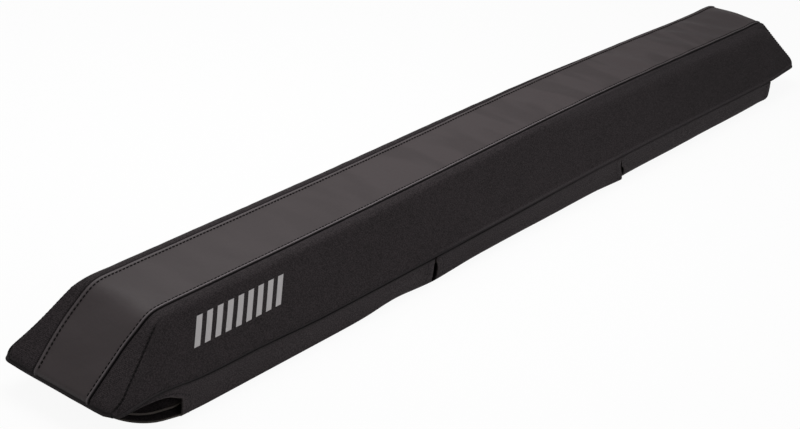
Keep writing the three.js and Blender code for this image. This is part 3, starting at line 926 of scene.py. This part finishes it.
class RACKPAD_OT_cover(bpy.types.Operator):
    """Models the cover's top panel and its two side panels"""

    bl_idname = "rackpad.cover"
    bl_label = "Cover"

    def execute(self, context):
        body = context.scene.rackpad_body
        finish = context.scene.rackpad_finish
        self.top(body, finish)
        for side in (NEAR, FAR):
            self.side(body, finish, side)
        return {"FINISHED"}

    def top(self, body, finish):
        points, from_end = top_grid(body, COVER_SPACING)
        points = arched(body, points)
        x, near = points[..., 0], points[..., 1] < 0
        edge = body.seam - np.abs(points[..., 1])
        from_end = from_end + 0 * edge
        relief = top_relief(body, points, from_end)
        held = (edge < 4.2 * MM) | (from_end < 8 * MM)
        # Painted shade along the near seam, faint along the far one, and at the panel's ends
        at_edge = (1 - smooth_step(edge, 0.25 * MM, 0.7 * MM)) * np.where(near, 1.0, 0.2)
        at_end = 1 - smooth_step(from_end, 1.6 * MM, 3.4 * MM)
        shade = np.maximum(at_edge, at_end * 0.7)
        sewn = np.where(near, TOPSTITCH[NEAR], TOPSTITCH[FAR])
        # Painted highlight on the hem's crest between the seam and the stitches: strong on the near side,
        # weaker on the far side and the front ramp, fading towards the rear
        rubbed = smooth_step(edge, 0.1 * MM, 0.4 * MM) * (1 - smooth_step(edge - sewn, -0.7 * MM, -0.2 * MM))
        near_share = 0.95 * (1 - 0.6 * smooth_step(x, 0.02, 0.18))
        far_share = 0.36 * (1 - 0.6 * smooth_step(x, -0.22, 0.02))
        on_front_ramp = smooth_step(-x, 0.33, 0.345)
        rubbed = rubbed * np.where(near, near_share, far_share) * (1 - 0.4 * on_front_ramp)
        obj = cover_panel(body, "cover_top", points, relief, 1, held, 1.2 * MM, shade, rubbed)
        thicken(obj, body.cloth)
        smooth_faces(obj, 60)
        material = shared_material("coated_polyester", coated_cloth, finish)
        finish_piece(obj, ["top_panel"], material)

    def side(self, body, finish, side):
        points, distances, shoulders, totals, from_end = side_grid(body, side, COVER_SPACING)
        points = arched(body, points)
        relief = side_relief(body, points, distances, shoulders, totals, from_end, 4.0 + side)
        x, foot, word = points[..., 0], totals - distances, SIDE_WORDS[side]
        from_end = from_end + 0 * distances
        on_ramp = np.abs(x) > body.half_length - body.ramp_run - 4 * MM
        from_dart = np.abs(distances - shoulders)
        held = (distances < 1.5 * MM) | (foot < 4.5 * MM) | (from_end < 7 * MM)
        held = held | on_ramp & (from_dart < 1.5 * MM)
        # Painted shade in the seam (fainter on the far side), along the dart on the ramps, at the ends, and
        # on the wall towards the rear
        in_seam = (1 - smooth_step(distances, 0.7 * MM, 1.6 * MM)) * (1.0 if side == NEAR else 0.5)
        in_dart = (1 - smooth_step(from_dart, 0.1 * MM, 0.9 * MM)) * on_ramp * 0.5
        at_end = (1 - smooth_step(from_end, 1.6 * MM, 3.4 * MM)) * 0.7
        painted_rear_shade = 0.16 * smooth_step(distances, 9 * MM, 18 * MM) * smooth_step(x, 0.1, 0.28)
        shade = np.maximum.reduce([in_seam, in_dart, at_end, painted_rear_shade])
        # Painted highlight: a light ridge just above the foot from about the middle rearwards, and a band
        # along the shoulder towards the rear
        rubbed = 0.5 * bump_at(foot, 1.6 * MM, 0.9 * MM) * smooth_step(x, -0.14, -0.04)
        rubbed += 0.28 * bump_at(distances, 5 * MM, 4 * MM) * smooth_step(x, 0, 0.1)
        obj = cover_panel(body, f"cover_side_{word}", points, relief, side, held, 1.4 * MM, shade, rubbed)
        thicken(obj, body.cloth)
        smooth_faces(obj, 60)
        material = shared_material(f"woven_polyester_{word}", woven_cloth, finish,
                                   printed=side == NEAR, rubbed=finish.ridge)
        finish_piece(obj, [f"side_panel_{word}"], material)


# Steps round a corner of the base, and round the binding's section
CORNER_STEPS = 7
BINDING_STEPS = 16


def foot_outline(body):
    """The base's outline seen from above, as a closed line of points."""
    arcs = []
    for quarter, (sign_x, sign_y) in enumerate(((1, 1), (1, -1), (-1, -1), (-1, 1))):
        corner = body.rear_corner if sign_x > 0 else body.corner
        centre = np.array([sign_x * (body.half_length - corner), sign_y * (body.half_base - corner)])
        start = math.pi / 2 - quarter * math.pi / 2
        angles = [start - step / CORNER_STEPS * math.pi / 2 for step in range(CORNER_STEPS + 1)]
        arcs.append([centre + corner * np.array([math.cos(angle), math.sin(angle)]) for angle in angles])
    points = []
    for quarter, arc in enumerate(arcs):
        after, before = arc[-1], arcs[(quarter + 1) % 4][0]
        count = max(2, int(np.linalg.norm(before - after) / (6 * MM)))
        points += arc + [after + (before - after) * step / count for step in range(1, count)]
    outline = np.array(points + points[:1])
    by_edge = np.minimum(1, np.abs(outline[:, 1]) / (body.half_base * 0.6))
    outline[:, 1] -= np.sign(outline[:, 1]) * rear_narrowing(body, outline[:, 0]) * by_edge
    return outline


class RACKPAD_OT_base(bpy.types.Operator):
    """Models the base panel and the binding round it"""

    bl_idname = "rackpad.base"
    bl_label = "Base and binding"

    def execute(self, context):
        body = context.scene.rackpad_body
        finish = context.scene.rackpad_finish
        self.panel(body, finish)
        self.binding(body, finish)
        return {"FINISHED"}

    def panel(self, body, finish):
        inset = 2.2 * MM
        x = np.linspace(-body.half_length + inset, body.half_length - inset, 131)
        across = np.linspace(-1, 1, 19)
        width = half_width_at(body, x) - inset
        points = np.zeros((len(x), len(across), 3))
        points[..., 0] = x[:, None]
        points[..., 1] = width[:, None] * across
        points[..., 2] = body.base
        points = arched(body, points)
        edge = 1 - np.abs(across)[None, :] + 0 * points[..., 0]
        wave = soft_noise(points[..., 0], points[..., 1], (0.045, 0.03), 21.0)
        points[..., 2] += 0.5 * MM * wave * smooth_step(edge, 0.05, 0.3)
        obj = cloth_from_grid("base_cloth", points, grid_uv(points), flip=True)
        thicken(obj, body.cloth)
        smooth_faces(obj, 60)
        material = shared_material("woven_polyester_base", woven_cloth, finish)
        finish_piece(obj, ["base_panel"], material)

    def binding(self, body, finish):
        outline = foot_outline(body)
        inward = []
        for index in range(len(outline)):
            ahead = outline[(index + 1) % (len(outline) - 1)]
            behind = outline[index - 1 if index else len(outline) - 2]
            line = (ahead - behind) / np.linalg.norm(ahead - behind)
            inward.append([line[1], -line[0]])
        inward = np.array(inward)
        inward *= np.sign(-(outline * inward).sum(axis=1, keepdims=True))
        at_end = smooth_step(np.abs(outline[:, 0]), body.half_length - 40 * MM, body.half_length - 6 * MM)
        height = 0.8 * MM + 1.4 * MM * at_end
        drop = 0.1 * MM + 0.8 * MM * at_end
        proud = 0.15 * MM + 0.35 * MM * at_end
        section = []
        for step in range(BINDING_STEPS + 1):
            angle = 2 * math.pi * step / BINDING_STEPS
            c, s = math.cos(angle), math.sin(angle)
            section.append([math.copysign(abs(c) ** 0.55, c), math.copysign(abs(s) ** 0.55, s)])
        section = np.array(section)
        rows = []
        for point, normal, tall, low, out in zip(outline, inward, height, drop, proud):
            depth = 0.85 * MM - out - section[:, 0] * 0.85 * MM
            z = body.base - low + (section[:, 1] + 1) / 2 * tall
            lean = (z - body.base) * 0.35
            place = point + normal * (depth + lean)[:, None]
            rows.append(np.column_stack([place, z]))
        points = np.array(rows)
        ripple = soft_noise(points[..., 0], points[..., 1], (0.012, 0.012), 33.0)
        points[..., 2] += 0.15 * MM * ripple
        points = arched(body, points)
        obj = cloth_from_grid("base_edge_binding", points, grid_uv(points))
        edit_all(obj, bpy.ops.mesh.remove_doubles, threshold=0.02 * MM)
        face_outwards(obj)
        smooth_faces(obj, 50)
        material = shared_material("grosgrain_tape", binding_tape, finish)
        finish_piece(obj, ["base_binding"], material)


# The flaps: each hangs from the base's edge, folds under and lies flat


# Points down a flap's wall, round its fold and across to its free edge
FLAP_WALL, FLAP_ARC, FLAP_FLAT = 11, 9, 26

# The fold's radius on the far side and at the rear
FAR_FOLD = 7 * MM

# The thin strip of an end flap that runs on under the base's edge: its end, and its two depths
STRIP_END = 376 * MM
STRIP_HEIGHT = 2.6 * MM
STRIP_FOOT = 7.2 * MM

# How deep the front slit stays open, and how far the end flaps' corners lift off the floor
SLIT_CLOSES = 15 * MM
END_LIFT = 0.6 * MM

# Rows beside a flap's cut edge, as shares of its length
EDGE_SHARES = np.array([0, 0.003, 0.009, 0.018, 0.027, 0.034])


def flap_places(flaps):
    """The flaps of one side with each one's two ends: a slit's place, or None at the bar's ends."""
    return {"front": (None, -flaps.slit), "middle": (-flaps.slit, flaps.slit), "rear": (flaps.slit, None)}


def flap_path(radius, wall, top, layer, reach, lift):
    """Points from a flap's sewn edge down its wall, round its fold and along to its free edge,
    as the distance from the middle line and the height, for a flap on the far side."""
    height = top - layer - radius
    steps = np.linspace(0, 1, FLAP_WALL)
    at_foot = np.array([-0.4 * MM, 0, 0.5 * MM]) + STRIP_FOOT
    steps = np.sort(np.concatenate([steps, np.minimum(at_foot / height, [0.985, 0.99, 0.995])]))
    down = np.stack([np.full(len(steps), wall), top - height * steps], axis=1)
    angles = np.linspace(0, math.pi / 2, FLAP_ARC + 1)[1:]
    arc_y, arc_z = wall - radius + radius * np.cos(angles), layer + radius - radius * np.sin(angles)
    arc = np.stack([arc_y, arc_z], axis=1)
    across = np.linspace(0, 1, FLAP_FLAT + 1)[1:]
    flat_y = wall - radius + (-reach - wall + radius) * across
    flat_z = layer + lift * smooth_step(across, 0.7, 1.0)
    return np.concatenate([down, arc, np.stack([flat_y, flat_z], axis=1)])


def end_setback(flaps, y, z, top, step):
    """How far along the bar an end flap reaches at a point of its path: round seen from above,
    with a thin strip under the base's edge that runs on to the corner."""
    centre = flaps.end - step - flaps.corner
    turned = flaps.wall - 2.5 * MM - flaps.corner
    past = np.clip(y - turned, 0, flaps.corner)
    reach = centre + np.sqrt(np.maximum(flaps.corner ** 2 - past ** 2, 0))
    depth = np.maximum(top - z, 0)
    strip = np.maximum(np.exp(-(depth / STRIP_HEIGHT) ** 1.5), 0.5 * (1 - depth / STRIP_FOOT))
    strip = np.maximum(strip, 0)
    return reach + np.maximum(STRIP_END - reach, 0) * strip * (y > turned)


def flap_grid(body, flaps, side, low, high, outer):
    """The grid of one flap without its relief, with its UV, each point's distance from its nearer end and the
    distances along its path. Low and high are its ends' places: a slit's, or None at the bar's ends."""
    top = body.base - 0.4 * MM
    layer = 0.0 if outer else flaps.inner_layer
    reach = flaps.reach if outer else flaps.inner_reach
    lift = 0.0 if outer else 4.2 * MM
    step = 0.0 if outer else flaps.inner_step
    first = -flaps.end if low is None else low
    last = flaps.end if high is None else high
    rounded = 2.2 * MM if side == NEAR else FAR_FOLD
    nominal = flap_path(rounded, flaps.wall, top, layer, reach, lift)
    y, z = nominal[:, 0], nominal[:, 1]
    free = np.linalg.norm(nominal - nominal[-1], axis=1)
    ends = []
    for place, sign in ((low, -1), (high, 1)):
        if place is None:
            end = end_setback(flaps, y, z if sign < 0 else 0 * z, top, step) * sign
            if sign > 0:
                end = end - 0.8 * MM
        else:
            end = slit_edge(flaps, side, place, sign, y, top - z)
        corner = flaps.slit_corner if place is not None else flaps.corner if outer else flaps.inner_corner
        past = np.clip(corner - free, 0, corner)
        end = end - sign * (corner - np.sqrt(corner ** 2 - past ** 2))
        ends.append(end)
    count = int((last - first) / (3.6 * MM))
    between = np.linspace(EDGE_SHARES[-1], 1 - EDGE_SHARES[-1], count)[1:-1]
    share = np.concatenate([EDGE_SHARES, between, 1 - EDGE_SHARES[::-1]])
    x = ends[0][None, :] + (ends[1] - ends[0])[None, :] * share[:, None]
    points = np.zeros(x.shape + (3,))
    for row in range(len(share)):
        middle = float(x[row, 0] + x[row, -1]) / 2
        radius = fold_radius(side, middle)
        from_bar_end = min(middle + flaps.end, flaps.end - middle)
        raised = lift * smooth_step(from_bar_end, 12 * MM, 38 * MM)
        line = flap_path(radius, flaps.wall, top, layer, reach, float(raised))
        points[row, :, 0] = x[row]
        points[row, :, 1] = line[:, 0] * side
        points[row, :, 2] = line[:, 1]
    by_wall = smooth_step(np.abs(points[..., 1]), flaps.wall - 12 * MM, flaps.wall)
    points[..., 1] -= np.sign(points[..., 1]) * rear_narrowing(body, points[..., 0]) * by_wall
    hang = np.clip(points[..., 2] - layer, 0, top - layer) / (top - layer)
    lift_here = base_lift(body, points[..., 0]) + (near_lift(points[..., 0]) if side == NEAR else 0)
    on_side = np.abs(points[..., 1]) > flaps.wall - 12 * MM
    points[..., 2] += lift_here * smooth_step(hang, 0.1, 1.0) * on_side
    if side == NEAR:
        points[..., 2] += 0.5 * MM * smooth_step(points[..., 0], -0.02, 0.1) * smooth_step(hang, 0.85, 1.0)
    from_end = np.minimum(np.abs(x - ends[0][None, :]), np.abs(ends[1][None, :] - x))
    along = distances_along(nominal)
    uv = np.stack([x, np.repeat(along[None, :], len(share), axis=0)], axis=2)
    return points, uv, from_end, along


def slit_edge(flaps, side, place, sign, y, depth):
    """Where a flap ends beside a slit, by its distance from the middle line and the depth below
    its sewn edge. On the near side the front slit gapes and the rear one leans back."""
    if side == FAR:
        return place - sign * (0.7 * MM + 1.3 * MM * smooth_step(depth, 0, 18 * MM))
    if place > 0:
        at_top, more = (2.5 * MM, 5.5 * MM) if sign > 0 else (3.1 * MM, 6.4 * MM)
        lean = at_top + more * smooth_step(depth, 2 * MM, 17 * MM)
        under = smooth_step(flaps.wall - y, 5 * MM, 11 * MM)
        return place + lean * (1 - under) + (8 * MM - sign * 0.5 * MM) * under
    hang = smooth_step(depth, 0, 9 * MM)
    if sign > 0:
        gape = 0.9 * MM - 0.7 * MM * hang - 1.6 * MM * smooth_step(depth, 12.5 * MM, 15 * MM)
    else:
        gape = 2.3 * MM + 3.2 * MM * hang
    under = smooth_step(flaps.wall - y, 0.8 * MM, 4 * MM)
    closed = np.maximum(under, smooth_step(depth, SLIT_CLOSES, SLIT_CLOSES + 1.5 * MM))
    return place + gape * (1 - closed) + (1.6 - 0.3 * sign) * MM * closed


def fold_radius(side, x):
    """How round a flap's fold is at a place along the bar: tighter where the flap hangs taut."""
    if side == FAR or x >= 109 * MM:
        return FAR_FOLD
    if x < -108 * MM:
        return float(1.4 * MM + 4.2 * MM * bump_at(x, -150 * MM, 26 * MM))
    slack = smooth_step(x, -106 * MM, -50 * MM) * (1 - smooth_step(x, 70 * MM, 120 * MM))
    return float(1.6 * MM + 3.6 * MM * slack)


class RACKPAD_OT_flaps(bpy.types.Operator):
    """Models the six flaps that fold under the bar"""

    bl_idname = "rackpad.flaps"
    bl_label = "Flaps"

    def execute(self, context):
        body, flaps = context.scene.rackpad_body, context.scene.rackpad_flaps
        finish = context.scene.rackpad_finish
        for side, side_word in SIDE_WORDS.items():
            for word, (low, high) in flap_places(flaps).items():
                self.flap(body, flaps, finish, side, side_word, word, low, high)
        return {"FINISHED"}

    def flap(self, body, flaps, finish, side, side_word, word, low, high):
        outer = side == NEAR
        points, uv, from_end, along = flap_grid(body, flaps, side, low, high, outer)
        outward = grid_normals(points) * side
        to_free = along[-1] - along[None, :] + 0 * from_end
        edge = np.minimum(from_end, to_free)
        in_hem = 1 - smooth_step(edge, flaps.hem - 0.7 * MM, flaps.hem + 0.7 * MM)
        hem = flaps.hem_rise * in_hem * smooth_step(edge, -1 * MM, 1.2 * MM)
        stitch = -0.3 * MM * bump_at(edge, flaps.hem - 1.2 * MM, 0.6 * MM)
        seed = 40.0 + 3 * side + {"front": 0, "middle": 1, "rear": 2}[word] * 0.7
        slack = soft_noise(points[..., 0], uv[..., 1], (0.055, 0.03), seed)
        small = soft_noise(points[..., 0], uv[..., 1], (0.013, 0.02), seed + 4)
        wall = smooth_step(along[None, :], 1 * MM, 8 * MM) + 0 * slack
        hanging = smooth_step(points[..., 2], 0.2 * MM, 3 * MM)
        by_bar_end = np.abs(points[..., 0]) > flaps.slit + 60 * MM
        lifted = END_LIFT * (1 - smooth_step(from_end, 0, 22 * MM)) * by_bar_end
        points[..., 2] += lifted * (1 - hanging)
        waves = (0.55 * MM * slack + 0.15 * MM * small) * wall
        relief = (hem * 0.5 + stitch + waves) * hanging
        points = points + outward * relief[..., None]
        points[..., 2] = np.maximum(points[..., 2], 0.25 * MM)
        # Painted shade along the flap's sewn edge under the cover's foot, fainter towards the rear
        fainter = 1 - 0.6 * smooth_step(points[..., 0], -0.05, 0.1)
        under_edge = 0.85 * (1 - smooth_step(along[None, :], 0.3 * MM, 1.1 * MM)) * fainter
        # Painted shade on the closed lower part of the front slit, standing for the dark gap
        if outer and word != "rear":
            at_slit = np.abs(points[..., 0] + flaps.slit - 2.6 * MM)
            painted_gap_shade = 1 - smooth_step(at_slit, 2.6 * MM, 3.6 * MM)
            low_down = smooth_step(along[None, :], SLIT_CLOSES - 0.5 * MM, SLIT_CLOSES + 0.5 * MM)
            under_edge = np.maximum(under_edge, painted_gap_shade * low_down)
        # Painted highlight along the cut edges: full on the far flaps and where a flap lies flat, weaker on a
        # near flap's hanging wall, least away from the front end
        rubbed = np.where(points[..., 0] < -0.335, 0.6, 0.15)
        cut = (1 - smooth_step(edge, 0.4 * MM, 1.3 * MM)) * np.where(outer & (hanging > 0.5), rubbed, 1)
        obj = cloth_from_grid(f"flap_{side_word}_{word}_cloth", points, uv,
                              flip=side == NEAR, shade=under_edge, edge=cut)
        thicken(obj, flaps.cloth)
        smooth_faces(obj, 60)
        material = shared_material("woven_polyester_flap", woven_cloth, finish, lift=1.2, rubbed=finish.edge_highlight)
        finish_piece(obj, [f"flap_{side_word}_{word}"], material)


class RACKPAD_OT_strips(bpy.types.Operator):
    """Models the hook and loop strips between the flaps"""

    bl_idname = "rackpad.strips"
    bl_label = "Hook and loop strips"

    def execute(self, context):
        finish = context.scene.rackpad_finish
        for kind in ("loop", "hook"):
            for word in ("front", "middle", "rear"):
                low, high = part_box(f"{kind}_strip_{word}")
                self.strip(f"{kind}_tape_{word}", f"{kind}_strip_{word}", low, high, finish)
        return {"FINISHED"}

    def strip(self, name, node, low, high, finish):
        size, centre = high - low, (high + low) / 2
        deselect_all()
        bpy.ops.mesh.primitive_grid_add(x_subdivisions=48, y_subdivisions=10, size=1)
        obj = bpy.context.object
        obj.name = name
        for vertex in obj.data.vertices:
            x, y = vertex.co.x * size.x, vertex.co.y * size.y
            bend = noise.noise(Vector((x * 18, y * 30, size.x + centre.x * 5)))
            vertex.co = Vector((centre.x + x, centre.y + y, high.z - 0.15 * MM + 0.1 * MM * bend))
        layer = obj.data.uv_layers[0].data
        for loop in obj.data.loops:
            place = obj.data.vertices[loop.vertex_index].co
            layer[loop.index].uv = (place.x, place.y)
        apply_modifier(obj, "SOLIDIFY", thickness=size.z - 0.3 * MM, offset=-1, use_rim=True)
        apply_modifier(obj, "BEVEL", width=0.25 * MM, segments=2, limit_method="ANGLE")
        smooth_faces(obj, 50)
        material = shared_material("hook_and_loop_nylon", hook_and_loop, finish)
        finish_piece(obj, [node], material)


# The sewing: short lengths of thread that lie on the cloth


def one_stitch():
    """The mesh of one stitch along X, of length and radius 1: a round-ended bead."""
    deselect_all()
    bpy.ops.mesh.primitive_uv_sphere_add(segments=6, ring_count=5, radius=1)
    obj = bpy.context.object
    edit_all(obj, bpy.ops.transform.rotate, value=math.pi / 2, orient_axis="Y", center_override=(0, 0, 0))
    points = np.array([vertex.co for vertex in obj.data.vertices])
    faces = [list(polygon.vertices) for polygon in obj.data.polygons]
    mesh = obj.data
    bpy.data.objects.remove(obj)
    bpy.data.meshes.remove(mesh)
    return points, faces


def thread_row(name, lines, cloth, sizes, material, sunk=0.35):
    """One piece with a stitch at each pitch along each line, laid on the cloth's surface."""
    bead, bead_faces = one_stitch()
    vertices, faces = [], []
    for line in lines:
        line = np.array(line)
        along = distances_along(line)
        for index in range(int(along[-1] / sizes.pitch)):
            middle = (index + 0.5) * sizes.pitch
            ends = []
            for place in (middle - sizes.stitch / 2, middle + sizes.stitch / 2):
                point = [float(np.interp(place, along, line[:, axis])) for axis in range(3)]
                _, on_cloth, normal, _ = cloth.closest_point_on_mesh(Vector(point))
                ends.append((on_cloth, normal))
            start, end = ends[0][0], ends[1][0]
            normal = (ends[0][1] + ends[1][1]).normalized()
            direction = end - start
            if direction.length < 0.3 * sizes.stitch:
                continue
            direction = direction.normalized()
            across = normal.cross(direction).normalized()
            centre = (start + end) / 2 + normal * sizes.thread * (1 - 2 * sunk)
            first = len(vertices)
            for x, y, z in bead:
                long = math.copysign(abs(x) ** 0.6, x) * sizes.stitch / 2
                round_it = (across * y + normal * z) * sizes.thread
                vertices.append(centre + direction * long + round_it)
            faces += [[first + corner for corner in face] for face in bead_faces]
    mesh = bpy.data.meshes.new(name)
    mesh.from_pydata(vertices, [], faces)
    mesh.update()
    obj = bpy.data.objects.new(name, mesh)
    bpy.context.scene.collection.objects.link(obj)
    face_outwards(obj)
    smooth_faces(obj, 80)
    finish_piece(obj, [], material)


class RACKPAD_OT_stitching(bpy.types.Operator):
    """Models the rows of stitches on the cover, its darts and the flaps"""

    bl_idname = "rackpad.stitching"
    bl_label = "Stitching"

    def execute(self, context):
        body, flaps = context.scene.rackpad_body, context.scene.rackpad_flaps
        sizes = context.scene.rackpad_stitches
        finish = context.scene.rackpad_finish
        thread = shared_material("bonded_thread", sewing_thread, finish.thread)
        softer = shared_material("flap_thread", sewing_thread, finish.flap_thread)
        places, heights, from_end = stations(body, COVER_SPACING)
        for side, word in SIDE_WORDS.items():
            y = side * (body.seam - TOPSTITCH[side])
            keep = from_end > 4 * MM
            row = np.stack([places, np.full(len(places), y), heights + body.base], axis=1)[keep]
            top = bpy.data.objects["cover_top"]
            thread_row(f"topstitch_{word}", [wandered(body, arched(body, row))], top, sizes, thread)
            cloth = bpy.data.objects[f"cover_side_{word}"]
            thread_row(f"dart_stitches_{word}", self.darts(body, side), cloth, sizes, thread, sunk=0.2)
            self.flap_rows(body, flaps, side, word, sizes, softer)
        return {"FINISHED"}

    def darts(self, body, side):
        places, heights, from_end = stations(body, COVER_SPACING)
        lines = []
        for end in (-1, 1):
            line = []
            for x, height, distance in zip(places, heights, from_end):
                if x * end < body.half_length - body.ramp_run + 2 * MM or distance < 5 * MM:
                    continue
                section, along, shoulder = side_line(body, x, height, body.seam)
                y = float(np.interp(shoulder, along, section[:, 0])) * side
                z = float(np.interp(shoulder, along, section[:, 1])) + body.base
                line.append([x, y, z])
            lines.append(arched(body, np.array(line)))
        return lines

    def flap_rows(self, body, flaps, side, side_word, sizes, thread):
        for word, (low, high) in flap_places(flaps).items():
            points, _, from_end, _ = flap_grid(body, flaps, side, low, high, side == NEAR)
            lines = []
            for rows in (slice(0, len(points) // 2), slice(len(points) // 2, None)):
                line = []
                for column in range(1, points.shape[1] - 4):
                    distances = from_end[rows, column]
                    chosen = int(np.argmin(np.abs(distances - flaps.hem + 1.2 * MM)))
                    line.append(points[rows, column][chosen])
                lines.append(line)
            cloth = bpy.data.objects[f"flap_{side_word}_{word}_cloth"]
            thread_row(f"flap_stitches_{side_word}_{word}", lines, cloth, sizes, thread, sunk=0.7)


# The stage: the photo's camera in metres and degrees, a white floor and soft light


AMBIENT = 0.3
PHOTO_LENS = 88.4135
PHOTO_PLACE = (-1.004757, -0.643966, 0.582866)
PHOTO_TURN = (63.35978, -5.77993, -52.03403)


class RACKPAD_OT_stage(bpy.types.Operator):
    """Makes the floor, the lamps and the camera"""

    bl_idname = "rackpad.stage"
    bl_label = "Stage"

    def execute(self, context):
        self.floor(context.scene.rackpad_finish)
        self.lamps()
        self.world()
        self.camera()
        context.scene.view_settings.view_transform = "Standard"
        return {"FINISHED"}

    def floor(self, finish):
        deselect_all()
        bpy.ops.mesh.primitive_plane_add(size=24, location=(0, 0, 0))
        floor = bpy.context.object
        floor.name = "studio_floor"
        floor.data.materials.append(studio_floor("studio_floor", finish))

    def lamp(self, name, place, size, power):
        bpy.ops.object.light_add(type="AREA", location=place)
        lamp = bpy.context.object
        lamp.name = name
        lamp.data.shape = "SQUARE"
        lamp.data.size = size
        lamp.data.energy = power
        lamp.rotation_euler = (-Vector(place)).to_track_quat("-Z", "Y").to_euler()

    def lamps(self):
        self.lamp("overhead_softbox", place=(-0.08, 0.12, 0.62), size=0.5, power=3.5)
        self.lamp("side_softbox", place=(-0.5, -1.25, 0.55), size=0.8, power=1.4)

    def world(self):
        world = bpy.data.worlds.new("studio")
        bpy.context.scene.world = world
        world.use_nodes = True
        tree = world.node_tree
        tree.nodes.clear()
        seen = seen_directly(tree, "Is Camera Ray", "Is Transmission Ray")
        strength = add_node(tree, "Math", {0: seen, 1: 1 - AMBIENT, 2: AMBIENT}, operation="MULTIPLY_ADD")
        background = add_node(tree, "Background", {"Color": WHITE, "Strength": strength})
        add_node(tree, "OutputWorld", {"Surface": background}, None)

    def camera(self):
        data = bpy.data.cameras.new("photo_view")
        camera = bpy.data.objects.new("photo_view", data)
        bpy.context.scene.collection.objects.link(camera)
        data.sensor_width = 36.0
        data.lens = PHOTO_LENS
        data.clip_start = 0.05
        data.clip_end = 100
        camera.location = PHOTO_PLACE
        camera.rotation_euler = Euler([math.radians(angle) for angle in PHOTO_TURN])
        bpy.context.scene.camera = camera


class RACKPAD_PT_panel(bpy.types.Panel):
    """Lists the pad's pieces and sizes in the sidebar"""

    bl_label = "Roof rack pad"
    bl_idname = "RACKPAD_PT_panel"
    bl_space_type = "VIEW_3D"
    bl_region_type = "UI"
    bl_category = "Rack Pad"

    def draw(self, context):
        for operator in OPERATORS:
            self.layout.operator(operator.bl_idname)
        for name in GROUPS:
            group = getattr(context.scene, name)
            box = self.layout.box()
            for key in group.bl_rna.properties.keys():
                if key not in ("name", "rna_type"):
                    box.prop(group, key)


GROUPS = {"rackpad_body": PadBodySizes, "rackpad_flaps": PadFlapSizes, "rackpad_stitches": PadStitchSizes,
          "rackpad_finish": PadFinish}
OPERATORS = (RACKPAD_OT_foam, RACKPAD_OT_cover, RACKPAD_OT_base, RACKPAD_OT_flaps, RACKPAD_OT_strips,
             RACKPAD_OT_stitching, RACKPAD_OT_stage)


def register():
    for name, group in GROUPS.items():
        bpy.utils.register_class(group)
        setattr(bpy.types.Scene, name, bpy.props.PointerProperty(type=group))
    for operator in OPERATORS:
        bpy.utils.register_class(operator)
    bpy.utils.register_class(RACKPAD_PT_panel)


def unregister():
    bpy.utils.unregister_class(RACKPAD_PT_panel)
    for operator in reversed(OPERATORS):
        bpy.utils.unregister_class(operator)
    for name, group in GROUPS.items():
        delattr(bpy.types.Scene, name)
        bpy.utils.unregister_class(group)


def main():
    register()
    bpy.ops.rackpad.foam()
    bpy.ops.rackpad.cover()
    bpy.ops.rackpad.base()
    bpy.ops.rackpad.flaps()
    bpy.ops.rackpad.strips()
    bpy.ops.rackpad.stitching()
    bpy.ops.rackpad.stage()


if __name__ == "__main__":
    main()
